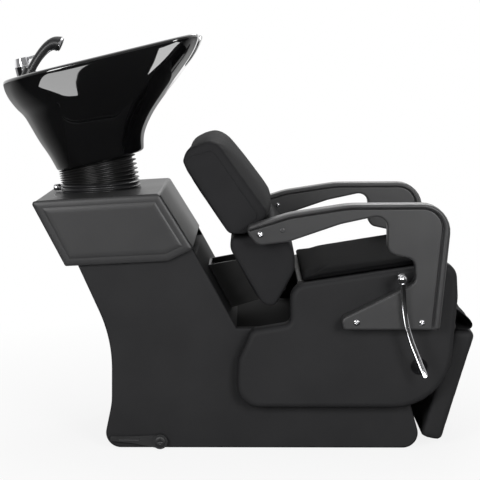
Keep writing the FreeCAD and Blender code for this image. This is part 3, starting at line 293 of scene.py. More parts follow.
hose_route = [(-0.3944, 0, 0.5996), (-0.3879, 0, 0.5723), (-0.34, 0, 0.42), (-0.29, 0, 0.25),
              (-0.262, 0, 0.164), (-0.262, 0, 0.136)]
hose_columns, hose_ribs = 24, 40
hose_radius, hose_rib_height = 0.0222, 0.0011
hose_curve = bpy.data.curves.new("hose_route", "CURVE")
hose_curve.dimensions = "3D"
hose_curve.resolution_u = 40
hose_spline = hose_curve.splines.new("NURBS")
hose_spline.points.add(len(hose_route) - 1)
for point, place in zip(hose_spline.points, hose_route):
    point.co = (*place, 1)
hose_spline.order_u = 3
hose_spline.use_endpoint_u = True
hose_guide = bpy.data.objects.new("hose_guide", hose_curve)
hose_line = [vertex.co.copy() for vertex in bpy.data.meshes.new_from_object(hose_guide).vertices]
bpy.data.objects.remove(hose_guide)
hose_points = []
for i, place in enumerate(hose_line):
    along = (hose_line[min(i + 1, len(hose_line) - 1)] - hose_line[max(i - 1, 0)]).normalized()
    side = Vector((0, 1, 0))
    out = along.cross(side)
    radius = hose_radius + hose_rib_height * math.cos(i / len(hose_line) * hose_ribs * math.tau)
    for j in range(hose_columns):
        turn = j / hose_columns * math.tau
        hose_points.append(place + (side * math.cos(turn) + out * math.sin(turn)) * radius)
hose_rubber = finish("hose_rubber", (0.05, 0.05, 0.05), (0.08, 0.08, 0.08), 0.5, 0.06, 900.0, 30.0, 0.0002)
hose = add_piece("drain_hose", hose_points, ring_faces(len(hose_line), hose_columns), hose_rubber, None)
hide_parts("waste_hose")
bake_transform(hose)

# Head box: a plywood cap over the column, covered in satin vinyl, with a thin padded panel on
# each side whose bevel runs round the edge.
arc_steps = 8
edge_steps = 8


def inset(corners, depths):
    """Corners (x, z, radius) of a closed outline moved inwards by one depth for each edge."""
    count = len(corners)
    area = sum(corners[i - 1][0] * corners[i][1] - corners[i][0] * corners[i - 1][1] for i in range(count))
    sign = math.copysign(1, area)
    moved = []
    for i, (x, z, radius) in enumerate(corners):
        here = Vector((x, z))
        way_in = (here - Vector(corners[i - 1][:2])).normalized()
        way_out = (Vector(corners[(i + 1) % count][:2]) - here).normalized()
        normal_in = Vector((-way_in.y, way_in.x)) * sign
        normal_out = Vector((-way_out.y, way_out.x)) * sign
        depth_in, depth_out = depths[i - 1], depths[i]
        turn = normal_in.cross(normal_out)
        if abs(turn) < 1e-3:
            shift = normal_in * depth_in
        else:
            shift = Vector((depth_in * normal_out.y - depth_out * normal_in.y,
                            depth_out * normal_in.x - depth_in * normal_out.x)) / turn
        deepest = max(depth_in, depth_out)
        new_radius = max(radius - deepest, radius * 0.35) if turn * sign > 0 else radius + deepest
        moved.append((x + shift.x, z + shift.y, new_radius))
    return moved


def outline(corners, values):
    """Points (x, z, value) round a closed outline; values holds one number for each edge."""
    count = len(corners)
    arcs = []
    for i, (x, z, radius) in enumerate(corners):
        here = Vector((x, z))
        before = Vector(corners[i - 1][:2]) - here
        after = Vector(corners[(i + 1) % count][:2]) - here
        half = max((math.pi - before.angle(after)) / 2, 1e-3)
        reach = min(radius * math.tan(half), 0.47 * min(before.length, after.length))
        before.normalize()
        after.normalize()
        middle = here + (before + after).normalized() * (reach / math.sin(half))
        first, last = here + before * reach - middle, here + after * reach - middle
        arcs.append((middle, first, math.copysign(2 * half, first.cross(last))))
    points = []
    for i, (middle, first, sweep) in enumerate(arcs):
        for step in range(arc_steps + 1):
            share = step / arc_steps
            turn = sweep * share
            spot = middle + Vector((first.x * math.cos(turn) - first.y * math.sin(turn),
                                    first.x * math.sin(turn) + first.y * math.cos(turn)))
            points.append((spot.x, spot.y, values[i - 1] * (1 - share) + values[i] * share))
        next_middle, next_first, next_sweep = arcs[(i + 1) % count]
        for step in range(1, edge_steps):
            between = spot.lerp(next_middle + next_first, step / edge_steps)
            points.append((between.x, between.y, values[i]))
    return points


def flat(corners, value):
    """The same number for each edge of an outline."""
    return [value] * len(corners)


def capped_faces(rings, columns, start=0):
    """Quads between rings of points and a face over each end; start is the first point's number."""
    faces = [tuple(start + n for n in face) for face in ring_faces(rings, columns)]
    last = start + (rings - 1) * columns
    faces.append(tuple(range(start, start + columns)))
    faces.append(tuple(range(last, last + columns)))
    return faces


def layered_board(name, corners, layers, side, material, body):
    """Closed board of outline layers (edge depths, edge distances from the middle plane) on one side."""
    points = []
    for depths, distances in layers:
        for x, z, distance in outline(inset(corners, depths), distances):
            points.append((x, side * distance, z))
    faces = capped_faces(len(layers), len(points) // len(layers))
    board = add_piece(name, points, faces, material, body)
    board.modifiers.new("even_normals", "WEIGHTED_NORMAL")
    return board


head_vinyl = finish("head_vinyl", (0.026, 0.026, 0.027), (0.036, 0.036, 0.037), 0.40, 0.04, 850.0, 8.0,
                    0.0002, specular=0.45)
dress(head_vinyl, "head_box")
head_outline = [(-0.5465, 0.5985, 0.008), (-0.2429, 0.616, 0.012), (-0.163, 0.486, 0.006),
                (-0.2241, 0.456, 0.006), (-0.466, 0.444, 0.006)]
head_half = 0.232
head_bevel = ((0.003, -0.004), (0.0008, -0.001), (0.0008, 0.001), (0.003, 0.0030), (0.007, 0.0042),
              (0.0155, 0.0052), (0.0175, 0.0040), (0.0195, 0.0052), (0.024, 0.0062), (0.032, 0.0066))
for side, name in ((-1, "right_head_pad"), (1, "left_head_pad")):
    layers = [(flat(head_outline, depth), flat(head_outline, head_half + rise)) for depth, rise in head_bevel]
    head_pad = layered_board(name, head_outline, layers, side, head_vinyl, "base")

# Tilt joint: steel plates and pins hidden by a rubber bellows that stands in a plastic collar,
# with a knurled screw at the back that locks the bowl's tilt.
black_steel = finish("black_steel", (0.012, 0.012, 0.012), (0.022, 0.022, 0.022), 0.42, 0.07, 700.0, 35.0,
                     0.0002)
dress(black_steel, "back_bracket", "tilt_base", "tilt_cradle", "mechanism_plates", "shaft_cranks",
      "push_links", "leg_rest_brackets")
zinc = finish("zinc", (0.45, 0.45, 0.47), (0.62, 0.62, 0.64), 0.34, 0.09, 900.0, 45.0, 0.0001, metallic=1.0)
dress(zinc, "tilt_pins", "hinge_shaft", "front_tie_rod")
chrome = finish("chrome", (0.80, 0.80, 0.82), (0.90, 0.90, 0.92), 0.06, 0.03, 600.0, 25.0, 0.00002,
                metallic=1.0)
dress(chrome, "lever_hub", "cross_shaft", "waste_fitting", "mixer_body", "mixer_cap",
      "mixer_lever", "handset_face")

bellows_low, bellows_high = Vector((-0.4032, 0, 0.6265)), Vector((-0.4125, 0, 0.6751))
collar_low = Vector((-0.4020, 0, 0.6067))
pitch_low, pitch_high = math.radians(3.42), math.radians(13.5)
rib_form = ((0.0, 0.0), (0.22, 0.06), (0.36, 0.8), (0.5, 1.0), (0.64, 0.8), (0.78, 0.06))
round_columns = 72


def ribbed_sleeve(name, low, high, pitches, ribs, valley, crest, bore, material, body):
    """Round sleeve of thin fins between two tilted ends."""
    rings = [(0.0, bore), (0.0, valley)]
    for rib in range(ribs):
        for place, swell in rib_form:
            rings.append(((rib + place) / ribs, valley + (crest - valley) * swell))
    rings += [(1.0, valley), (1.0, bore)]
    points = []
    for share, radius in rings:
        centre = low.lerp(high, share)
        pitch = pitches[0] + (pitches[1] - pitches[0]) * share
        for j in range(round_columns):
            turn = j / round_columns * math.tau
            along, across = radius * math.cos(turn), radius * math.sin(turn)
            points.append(centre + Vector((along * math.cos(pitch), across, along * math.sin(pitch))))
    return add_piece(name, points, ring_faces(len(rings), round_columns), material, body)


collar = ribbed_sleeve("ribbed_collar", collar_low, bellows_low, (pitch_low, pitch_low), 2, 0.0945, 0.0998,
                       0.0860, moulded_plastic, "base")
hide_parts("collar_ring")
soft_rubber = finish("soft_rubber", (0.006, 0.006, 0.006), (0.012, 0.012, 0.012), 0.33, 0.06, 1100.0, 30.0,
                     0.00015)
bellows = ribbed_sleeve("rubber_bellows", bellows_low, bellows_high, (pitch_low, pitch_high), 6, 0.0885,
                        0.0978, 0.0872, soft_rubber, None)
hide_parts("bellows")
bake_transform(bellows)

knob_start, knob_way = Vector((-0.5028, 0, 0.6115)), Vector((-0.998, 0, -0.0596))
knob_teeth = 28
knob_profile = ((0.0, 0.0), (0.0, 0.0070), (0.001, 0.0082), (0.0155, 0.0082), (0.0172, 0.0070),
                (0.0172, 0.0030), (0.0165, 0.0))
knob_up = Vector((-0.0596, 0, 0.998))
knob_valley = 0.93
knob_points = []
for along, radius in knob_profile:
    for j in range(knob_teeth * 2):
        turn = j / (knob_teeth * 2) * math.tau
        grip = radius * (1.0 if j % 2 or radius < 0.008 else knob_valley)
        knob_points.append(knob_start + knob_way * along + knob_up * (grip * math.cos(turn))
                           + Vector((0, grip * math.sin(turn), 0)))
knob = add_piece("lock_knob", knob_points, ring_faces(len(knob_profile), knob_teeth * 2), chrome,
                 "lock_screw")
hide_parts("tilt_lock_screw")

# Bowl: slip-cast ceramic with a deep black glaze, fired in one piece with its rear ledge and the
# dip for the neck. It stands on the tilt cradle and is clamped there by the waste nut.
bowl_origin, bowl_pitch = Vector((-0.4126, 0, 0.6754)), math.radians(13.5)
bowl_depth, bowl_rear, bowl_front, bowl_half = 0.246, 0.168, 0.326, 0.235
shell_shares = (
    (0.0, 0.584, 0.365, 0.417, 0.38, 0.30), (0.163, 0.640, 0.398, 0.50, 0.42, 0.31),
    (0.341, 0.729, 0.495, 0.61, 0.50, 0.32), (0.516, 0.795, 0.640, 0.73, 0.58, 0.33),
    (0.618, 0.838, 0.735, 0.80, 0.62, 0.33), (0.70, 0.910, 0.812, 0.86, 0.66, 0.33),
    (0.833, 0.980, 0.925, 0.94, 0.68, 0.32), (0.967, 0.99, 1.0, 1.0, 0.68, 0.31),
    (1.0, 0.965, 0.995, 0.995, 0.67, 0.30))
basin_shares = (
    (0.187, 0.175, 0.16, 0.17, 0.12, 0.12), (0.236, 0.285, 0.24, 0.30, 0.22, 0.20),
    (0.366, 0.373, 0.325, 0.49, 0.30, 0.27), (0.516, 0.422, 0.435, 0.64, 0.34, 0.29),
    (0.65, 0.45, 0.65, 0.75, 0.37, 0.29), (0.772, 0.471, 0.82, 0.84, 0.38, 0.28),
    (0.915, 0.493, 0.93, 0.915, 0.38, 0.27), (1.0, 0.515, 0.955, 0.94, 0.38, 0.26))
neck_radius, neck_rise = 0.092, 0.272


def on_bowl(u, v, w):
    """Point of the bowl's own tilted frame in the shared frame."""
    cos, sin = math.cos(bowl_pitch), math.sin(bowl_pitch)
    return bowl_origin + Vector((u * cos - w * sin, v, u * sin + w * cos))


def eased(table, at):
    """Row of a table at a value of its first column, on a smooth curve through the rows."""
    last = len(table) - 1
    i = 0
    while i < last - 1 and table[i + 1][0] < at:
        i += 1
    span = table[i + 1][0] - table[i][0]
    t = min(max((at - table[i][0]) / span, 0.0), 1.0)
    row = []
    for k in range(1, len(table[0])):
        slopes = []
        for j in (i, i + 1):
            low, high = table[max(j - 1, 0)], table[min(j + 1, last)]
            slopes.append((high[k] - low[k]) / (high[0] - low[0]) * span)
        a, b = table[i][k], table[i + 1][k]
        row.append((2 * t ** 3 - 3 * t ** 2 + 1) * a + (t ** 3 - 2 * t ** 2 + t) * slopes[0]
                   + (3 * t ** 2 - 2 * t ** 3) * b + (t ** 3 - t ** 2) * slopes[1])
    return row


def bowl_ring(table, w, shrink):
    """Points (u, v) round the bowl at height w, drawn in by shrink."""
    rear, front, half, rear_round, front_round = eased(table, w / bowl_depth)
    rear, front, half = rear * bowl_rear, front * bowl_front, half * bowl_half
    corners = [(-rear, -half, rear_round * bowl_half), (front, -half, front_round * bowl_half),
               (front, half, front_round * bowl_half), (-rear, half, rear_round * bowl_half)]
    return [(u, v) for u, v, none in outline(inset(corners, flat(corners, shrink)), flat(corners, 0))]


def rim_height(u, v):
    """Height of the rim: level, with the round dip for the neck at the front."""
    dip = neck_rise - math.sqrt(max(neck_radius ** 2 - v ** 2, 0)) if u > 0 else bowl_depth * 2
    blend = 0.012
    share = min(max(0.5 + 0.5 * (bowl_depth - dip) / blend, 0), 1)
    return bowl_depth * (1 - share) + dip * share - blend * share * (1 - share)


rim_tops = [rim_height(u, v) for u, v in bowl_ring(shell_shares, bowl_depth, 0)]
bowl_columns = len(rim_tops)
rim_round = 0.006
basin_floor = basin_shares[0][0] * bowl_depth


def bowl_layer(table, height, shrink):
    """One ring of the bowl; height(top) gives each column's height from its rim height."""
    layer = []
    rings = {}
    for i, top in enumerate(rim_tops):
        w = height(top)
        key = round(w, 6)
        if key not in rings:
            rings[key] = bowl_ring(table, w, shrink)
        u, v = rings[key][i]
        layer.append(on_bowl(u, v, w))
    return layer


def bowl_circle(radius, w):
    """Ring of the bowl that is a true circle about the drain."""
    ring = bowl_ring(basin_shares, basin_floor, 0)
    return [on_bowl(u / math.hypot(u, v) * radius, v / math.hypot(u, v) * radius, w) for u, v in ring]


def rounded(piece, rendered=1):
    """Rounds a piece by subdivision: one level in the view, rendered levels in the picture."""
    rounding = piece.modifiers.new("rounding", "SUBSURF")
    rounding.levels = 1
    rounding.render_levels = rendered


drain_radius, drain_height = 0.0205, 0.030
recess_radius, recess_height = 0.058, 0.028
foot_round, foot_height = 0.003, 0.002
shell_steps, basin_steps = 30, 26
bowl_layers = [bowl_circle(drain_radius, drain_height), bowl_circle(recess_radius, recess_height),
               bowl_circle(recess_radius, 0.001), bowl_layer(shell_shares, lambda top: 0.0, foot_round)]
for step in range(shell_steps + 1):
    bowl_layers.append(bowl_layer(
        shell_shares, lambda top: foot_height + (top - rim_round - foot_height) * step / shell_steps, 0))
bowl_layers.append(bowl_layer(shell_shares, lambda top: top - rim_round * 0.3, rim_round * 0.3))
bowl_layers.append(bowl_layer(shell_shares, lambda top: top, rim_round * 0.9))
bowl_layers.append(bowl_layer(basin_shares, lambda top: top, -rim_round * 0.9))
bowl_layers.append(bowl_layer(basin_shares, lambda top: top - rim_round * 0.3, -rim_round * 0.3))
for step in range(basin_steps + 1):
    share = 1 - step / basin_steps
    bowl_layers.append(bowl_layer(
        basin_shares, lambda top: basin_floor + (top - rim_round - basin_floor) * share, 0))
bowl_layers.append(bowl_circle(drain_radius + 0.0055, basin_floor - 0.0005))
bowl_layers.append(bowl_circle(drain_radius, basin_floor - 0.001))
bowl_layers.append(bowl_layers[0])
bowl_points = [point for layer in bowl_layers[:-1] for point in layer]
bowl_faces = ring_faces(len(bowl_layers) - 1, bowl_columns)
last_ring = (len(bowl_layers) - 2) * bowl_columns
for i in range(bowl_columns):
    j = (i + 1) % bowl_columns
    bowl_faces.append((last_ring + i, last_ring + j, j, i))
glaze = finish("black_glaze", (0.0015, 0.0015, 0.0017), (0.003, 0.003, 0.0032), 0.03, 0.012, 60.0, 6.0,
               0.00004, specular=0.8)
glaze_inputs = glaze.node_tree.nodes["Principled BSDF"].inputs
glaze_inputs["Coat Weight"].default_value = 0.6
glaze_inputs["Coat Roughness"].default_value = 0.02
bowl = add_piece("wash_bowl", bowl_points, bowl_faces, glaze, "bowl_unit")
rounded(bowl)
card_glow.objects.link(bowl)
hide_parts("bowl")

# Neck rest: a saddle moulded in soft black rubber, pressed over the dip in the bowl's front lip, which
# it grips from the inside and the outside.
saddle_spread, lip_radius = math.radians(63), 0.090
saddle_steps = 28
saddle_points = []
for step in range(saddle_steps + 1):
    turn = saddle_spread * (2 * step / saddle_steps - 1)
    w_lip = neck_rise - lip_radius * math.cos(turn)
    front = eased(shell_shares, w_lip / bowl_depth)[1] * bowl_front
    back = eased(basin_shares, w_lip / bowl_depth)[1] * bowl_front
    section = ((back - 0.004, 0.100), (back - 0.004, 0.086), (back, 0.0825), (front - 0.010, 0.0825),
               (front - 0.0045, 0.087), (front - 0.004, 0.095), (front - 0.007, 0.095),
               (front - 0.007, 0.0915), (back, 0.0915), (back, 0.100))
    for u, radius in section:
        saddle_points.append(on_bowl(u, radius * math.sin(turn), neck_rise - radius * math.cos(turn)))
saddle_faces = capped_faces(saddle_steps + 1, len(section))
saddle = add_piece("neck_saddle", saddle_points, saddle_faces, soft_rubber, "bowl_unit")
rounded(saddle, 2)
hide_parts("neck_rest")

# Hand shower: a bent black handle with a chrome spine and a round spray plate with rubber jets,
# parked in a leaning socket on the bowl's ledge beside the mixer.
shower_seat, shower_lean = Vector((-0.106, -0.034, bowl_depth)), math.radians(36)
shower_length, shower_radius = 0.104, 0.010
shower_path = ((0.0, 0.0, 1.0, 0.0), (0.28, 0.022, 1.02, 8.0), (0.54, 0.075, 1.08, 15.0),
               (0.76, 0.155, 1.25, 34.0), (0.905, 0.265, 1.55, 64.0), (0.95, 0.40, 1.9, 90.0))
shower_stations = [(i / (len(shower_path) - 1), *row) for i, row in enumerate(shower_path)]
shower_steps = 36
shower_columns = 32


def on_shower(share, turn, swell):
    """Point on the handle's skin: share along it, turn round it, swell of its radius."""
    along, across, width, bend = eased(shower_stations, share)
    lean = shower_lean + math.radians(bend)
    way = Vector((math.sin(shower_lean), math.cos(shower_lean)))
    centre = Vector((shower_seat.x, shower_seat.z)) + way * (along * shower_length)
    centre += Vector((way.y, -way.x)) * (across * shower_length)
    radius = shower_radius * width * swell
    reach = radius * math.cos(turn)
    return on_bowl(centre.x + reach * math.cos(lean), shower_seat.y + radius * math.sin(turn),
                   centre.y - reach * math.sin(lean))


shower_points = []
for step in range(shower_steps + 1):
    for j in range(shower_columns):
        shower_points.append(on_shower(step / shower_steps, j / shower_columns * math.tau, 1.0))
shower_faces = capped_faces(shower_steps + 1, shower_columns)
handle_satin = finish("handle_satin", (0.012, 0.012, 0.013), (0.018, 0.018, 0.019), 0.36, 0.06, 900.0,
                      30.0, 0.00008)
shower = add_piece("shower_handle", shower_points, shower_faces, handle_satin, "hand_shower")
shower.modifiers.new("even_normals", "WEIGHTED_NORMAL")
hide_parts("handset")
spine_points = []
spine_columns, spine_spread = 9, 34
spine_start, spine_span, spine_lift = 0.05, 0.88, 1.05
for step in range(shower_steps + 1):
    share = spine_start + spine_span * step / shower_steps
    for j in range(spine_columns):
        turn = math.radians(-spine_spread + 2 * spine_spread * j / (spine_columns - 1))
        lift = 1.0 if j in (0, spine_columns - 1) else spine_lift
        spine_points.append(on_shower(share, turn, lift))
spine_faces = ring_faces(shower_steps + 1, spine_columns, False)
add_piece("shower_spine", spine_points, spine_faces, chrome, "hand_shower")
face_low, face_high = (Vector(corner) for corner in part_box("handset_face"))
face_lean = shower_lean + math.radians(shower_path[-1][3])
face_way = (on_bowl(math.sin(face_lean), 0, math.cos(face_lean)) - on_bowl(0, 0, 0)).normalized()
face_up = face_way.cross(Vector((0, 1, 0)))
jet_centre = (face_low + face_high) / 2 + face_way * 0.0026
jet_points, jet_faces = [], []
jet_radius, jet_height, jet_sides = 0.0011, 0.0012, 8
for ring_radius, jets in ((0.0, 1), (0.0045, 6), (0.0090, 12), (0.0135, 18)):
    for k in range(jets):
        turn = k / jets * math.tau
        spot = jet_centre + face_up * (ring_radius * math.cos(turn))
        spot += Vector((0, ring_radius * math.sin(turn), 0))
        start = len(jet_points)
        for level, swell in ((0.0, 1.0), (0.7, 0.8), (1.0, 0.35)):
            for j in range(jet_sides):
                around = j / jet_sides * math.tau
                jet_points.append(spot + face_way * (jet_height * level)
                                  + face_up * (jet_radius * swell * math.cos(around))
                                  + Vector((0, jet_radius * swell * math.sin(around), 0)))
        jet_faces += [tuple(start + n for n in face) for face in ring_faces(3, jet_sides)]
        jet_faces.append(tuple(range(start + 2 * jet_sides, start + 3 * jet_sides)))
add_piece("spray_jets", jet_points, jet_faces, soft_rubber, "hand_shower")

# Seat box: two capsule-shaped side panels, board wrapped over thin foam in the same vinyl, with
# a round plastic cap over the end of the tie rod.
seat_outline = [(-0.062, 0.111, 0.096), (-0.0589, 0.224, 0.0571), (-0.0267, 0.297, 0.026),
                (0.0647, 0.3129, 0.0156), (0.0631, 0.404, 0.0415), (0.4518, 0.464, 0.0623),
                (0.457, 0.3757, 0.083), (0.4352, 0.111, 0.1661)]
seat_face, seat_back, seat_roll, seat_roll_steps = 0.265, 0.2202, 0.014, 6
seat_layers = [(flat(seat_outline, 0.004), flat(seat_outline, seat_back)),
               (flat(seat_outline, 0.0), flat(seat_outline, seat_back + 0.004))]
for step in range(seat_roll_steps + 1):
    turn = math.radians(90 * step / seat_roll_steps)
    seat_layers.append((flat(seat_outline, seat_roll * (1 - math.cos(turn))),
                        flat(seat_outline, seat_face - seat_roll * (1 - math.sin(turn)))))
for side, label in ((-1, "right"), (1, "left")):
    seat_panel = layered_board(label + "_seat_side", seat_outline, seat_layers, side, panel_vinyl, "base")
    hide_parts(label + "_seat_panel")
cap_gloss = finish("cap_gloss", (0.004, 0.004, 0.0045), (0.008, 0.008, 0.009), 0.16, 0.04, 900.0, 30.0,
                   0.00005)
dress(cap_gloss, "tie_rod_caps")

# Seat cushion and front roll: foam covered in soft vinyl, crowned across and drawn in at the ends,
# lying on the seat board between the arms.
cushion_vinyl = finish("cushion_vinyl", (0.016, 0.016, 0.017), (0.024, 0.024, 0.025), 0.66, 0.05, 750.0,
                       11.0, 0.0003, specular=0.04)
end_steps, span_steps = 4, 10
crown_power = 2.2
cloth_mesh, cloth_pressure, cloth_frames = 0.0065, 4.0, 20


def stuffed_block(name, corners, swells, half_width, crown, lean, body, end_round=0.011, slack=0.001,
                  cover=cushion_vinyl):
    """Foam block: a side outline carried across, swelling along lean in the middle, rounded at both ends."""
    stations = []
    for step in range(end_steps + 1):
        turn = math.radians(90 * step / end_steps)
        stations.append((half_width - end_round * (1 - math.cos(turn)), end_round * (1 - math.sin(turn))))
    for step in range(1, span_steps):
        stations.append(((half_width - end_round) * (1 - 2 * step / span_steps), 0.0))
    stations += [(-y, draw) for y, draw in reversed(stations[:end_steps + 1])]
    push = Vector((math.cos(math.radians(lean)), math.sin(math.radians(lean))))
    points = []
    for y, draw in stations:
        share = crown * (1 - abs(y / half_width) ** crown_power)
        swollen = []
        for (x, z, radius), swell in zip(corners, swells):
            swollen.append((x + push.x * share * swell, z + push.y * share * swell, radius))
        for x, z, none in outline(inset(swollen, flat(corners, draw + slack)), flat(corners, 0)):
            points.append((x, y, z))
    faces = capped_faces(len(stations), len(points) // len(stations))
    block = add_piece(name, points, faces, cover, body)
    return block


def inflate(block, is_held, most):
    """Swells a block as stuffed cloth, with the held points fixed and no point moved further than most."""
    remesh = block.modifiers.new("even_mesh", "REMESH")
    remesh.mode = "VOXEL"
    remesh.voxel_size = cloth_mesh
    remesh.use_smooth_shade = True
    graph = bpy.context.evaluated_depsgraph_get()
    even = bpy.data.meshes.new_from_object(block.evaluated_get(graph))
    block.modifiers.clear()
    block.data = even
    held = block.vertex_groups.new(name="held")
    held.add([vertex.index for vertex in even.vertices if is_held(vertex.co)], 1.0, "REPLACE")
    cloth = block.modifiers.new("stuffing", "CLOTH")
    cloth.settings.use_pressure = True
    cloth.settings.uniform_pressure_force = cloth_pressure
    cloth.settings.vertex_group_mass = "held"
    cloth.settings.effector_weights.gravity = 0.0
    for number in range(1, cloth_frames + 1):
        scene.frame_set(number)
    graph = bpy.context.evaluated_depsgraph_get()
    swollen = bpy.data.meshes.new_from_object(block.evaluated_get(graph))
    for before, after in zip(even.vertices, swollen.vertices):
        step = after.co - before.co
        if step.length > most:
            after.co = before.co + step.normalized() * most
    block.modifiers.clear()
    block.data = swollen
    block.vertex_groups.clear()
    scene.frame_set(1)
    soften = block.modifiers.new("soften", "SMOOTH")
    soften.factor = 0.5
    soften.iterations = 3
    rounded(block)


seat_rear, seat_height, seat_top_slope = 0.0631, 0.4043, 0.1544
cushion_thick, cushion_held = 0.026, 0.409
cushion_shares = ((0.0835, 0.0, 0.30), (0.0835, 0.55, 0.50), (0.1456, 0.66, 2.0), (0.3636, 0.66, 3.0),
                  (0.4233, 0.55, 0.40), (0.4337, 0.0, 0.30))
cushion_outline = []
for x, up, share in cushion_shares:
    level = seat_height + (x - seat_rear) * seat_top_slope
    cushion_outline.append((x, level + up * cushion_thick, share * cushion_thick))
# The seat pad's cover is a much darker copy of the cushion vinyl: painted shade on the seat's top.
seat_painted_shade = finish("seat_painted_shade", (0.003, 0.003, 0.0033), (0.0055, 0.0055, 0.0058), 0.68, 0.05, 750.0,
                    11.0, 0.0003, specular=0.015)
cushion = stuffed_block("seat_pad", cushion_outline, (0, 0, 1, 1, 0, 0), 0.251, 0.005, 98.8, "base",
                        end_round=0.008, slack=0.0015, cover=seat_painted_shade)
inflate(cushion, lambda co: co.z < cushion_held + (co.x - seat_rear) * seat_top_slope, 0.004)
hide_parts("seat_cushion")
roll_outline = [(0.4060, 0.4375, 0.0104), (0.4389, 0.4481, 0.0415), (0.456, 0.404, 0.0519),
                (0.4529, 0.3457, 0.0311), (0.4181, 0.3457, 0.0156), (0.4060, 0.3793, 0.0156)]
roll_half, end_held = 0.213, 0.004
roll = stuffed_block("front_roll", roll_outline, (0, 0.3, 1, 0.6, 0, 0), roll_half, 0.005, 0.0, "base")
inflate(roll, lambda co: co.x < 0.4125 or abs(co.y) > roll_half - end_held, 0.004)
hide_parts("seat_front_roll")

# Back rest: a tall foam block over a shorter lumbar block, sewn from side panels and one wrap that
# runs over the front and top, with the seam showing on the sides.
back_outline = [(-0.193, 0.6935, 0.0227), (-0.1771, 0.723, 0.034), (-0.1124, 0.748, 0.0318),
                (0.019, 0.5664, 0.0227), (-0.0414, 0.521, 0.0136), (-0.0806, 0.5221, 0.0136)]
back_half = 0.258
back_pad = stuffed_block("back_pad", back_outline, (0, 0.1, 0.55, 0.75, 0, 0), back_half, 0.026, 30.0, "base")
inflate(back_pad, lambda co: co.z < 0.528 or abs(co.y) > back_half - end_held, 0.005)
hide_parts("back_cushion")
lumbar_outline = [(-0.078, 0.5164, 0.0125), (-0.078, 0.4873, 0.0125), (-0.0047, 0.3583, 0.0125),
                  (0.0117, 0.35, 0.0166), (0.0304, 0.3521, 0.0166), (0.0757, 0.4374, 0.0416),
                  (0.0757, 0.4873, 0.0624), (0.0219, 0.5549, 0.0125), (-0.0374, 0.5164, 0.0125)]
lumbar_swells = (0, 0, 0, 0, 0, 0, 0.2, 0.3, 0)
lumbar_pad = stuffed_block("lumbar_pad", lumbar_outline, lumbar_swells, back_half, 0.010, 0.0, "base")
inflate(lumbar_pad, lambda co: co.x < -0.07 or co.z > 0.53 or abs(co.y) > back_half - end_held, 0.004)
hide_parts("lumbar_cushion")

seam_reach, seam_radius, seam_step = 0.262, 0.0011, 0.006
seam_route = ((-0.180, 0.697), (-0.167, 0.706), (-0.122, 0.718), (-0.112, 0.712), (-0.014, 0.572),
              (-0.016, 0.560), (-0.055, 0.528))


def seam(name, pad, route, body):
    """Thin sewn ridge laid on the skin of a pad along a route of points."""
    graph = bpy.context.evaluated_depsgraph_get()
    skin = BVHTree.FromObject(pad, graph)
    line = []
    for start, end in zip(route, route[1:]):
        steps = max(int((Vector(end) - Vector(start)).length / seam_step), 1)
        for step in range(steps):
            line.append(Vector(start).lerp(Vector(end), step / steps))
    line.append(Vector(route[-1]))
    line = [skin.find_nearest(place)[0] for place in line]
    curve = bpy.data.curves.new(name, "CURVE")
    curve.dimensions = "3D"
    curve.bevel_depth = seam_radius
    curve.bevel_resolution = 2
    spline = curve.splines.new("POLY")
    spline.points.add(len(line) - 1)
    for point, place in zip(spline.points, line):
        point.co = (*place, 1)
    guide = bpy.data.objects.new(name, curve)
    mesh = bpy.data.meshes.new_from_object(guide)
    bpy.data.objects.remove(guide)
    points = [vertex.co for vertex in mesh.vertices]
    add_piece(name, points, [tuple(face.vertices) for face in mesh.polygons], cushion_vinyl, body)


for side, label in ((-1, "right"), (1, "left")):
    route = [(x, side * seam_reach, z) for x, z in seam_route]
    seam(label + "_back_seam", back_pad, route, "base")

# Armrests: satin black moulded plates, thick enough to lean on, with a rounded bead and a groove
# along the top and front edge. Chrome button screws hold them to the seat panels and the back.
arm_outline = [(-0.036, 0.5480, 0.0116), (0.0615, 0.5785, 0.1856), (0.196, 0.5995, 0.2784),
               (0.4364, 0.601, 0.065), (0.4094, 0.307, 0.0093), (0.1858, 0.307, 0.0093),
               (0.1812, 0.3322, 0.0139), (0.319, 0.4006, 0.0232), (0.3529, 0.4169, 0.0278),
               (0.3491, 0.4718, 0.0232), (0.2865, 0.4852, 0.0232), (0.2851, 0.5765, 0.0255),
               (0.1775, 0.5530, 0.1856), (0.0568, 0.5115, 0.0557), (-0.0128, 0.503, 0.0232),
               (-0.036, 0.5312, 0.0162)]
arm_face, arm_back = 0.309, 0.2653
bead_shares = [0.68, 0.68, 0.68, 1.05] + [0] * 12
bead_form = (
    (0.0222, 0.0066, 0.0000, 0.0000), (0.0205, 0.0060, 0.0000, 0.0000),
    (0.0190, 0.0052, -0.0010, 0.0000), (0.0174, 0.0046, -0.0052, 0.0000),
    (0.0156, 0.0040, -0.0050, -0.0001), (0.0142, 0.0034, 0.0004, -0.0002),
    (0.0124, 0.0028, 0.0030, -0.0005), (0.0098, 0.0022, 0.0042, -0.0009),
    (0.0066, 0.0015, 0.0042, -0.0015), (0.0036, 0.0008, 0.0028, -0.0022),
    (0.0012, 0.0003, -0.0006, -0.0031), (0.0002, 0.0000, -0.0050, -0.0045),
    (0.0000, 0.0000, -0.0100, -0.0100))
arm_layers = []
for depth, plain_depth, rise, plain_rise in bead_form:
    arm_layers.append(([depth * bead if bead else plain_depth for bead in bead_shares],
                       [arm_face + (rise if bead else plain_rise) for bead in bead_shares]))
for depth, plain_depth, rise, plain_rise in reversed(bead_form):
    arm_layers.append(([depth * bead if bead else plain_depth for bead in bead_shares],
                       [arm_back - min(rise if bead else plain_rise, 0) for bead in bead_shares]))
arm_satin = finish("arm_satin", (0.034, 0.034, 0.035), (0.042, 0.042, 0.043), 0.36, 0.05, 1500.0, 14.0,
                   0.00012, specular=0.6)
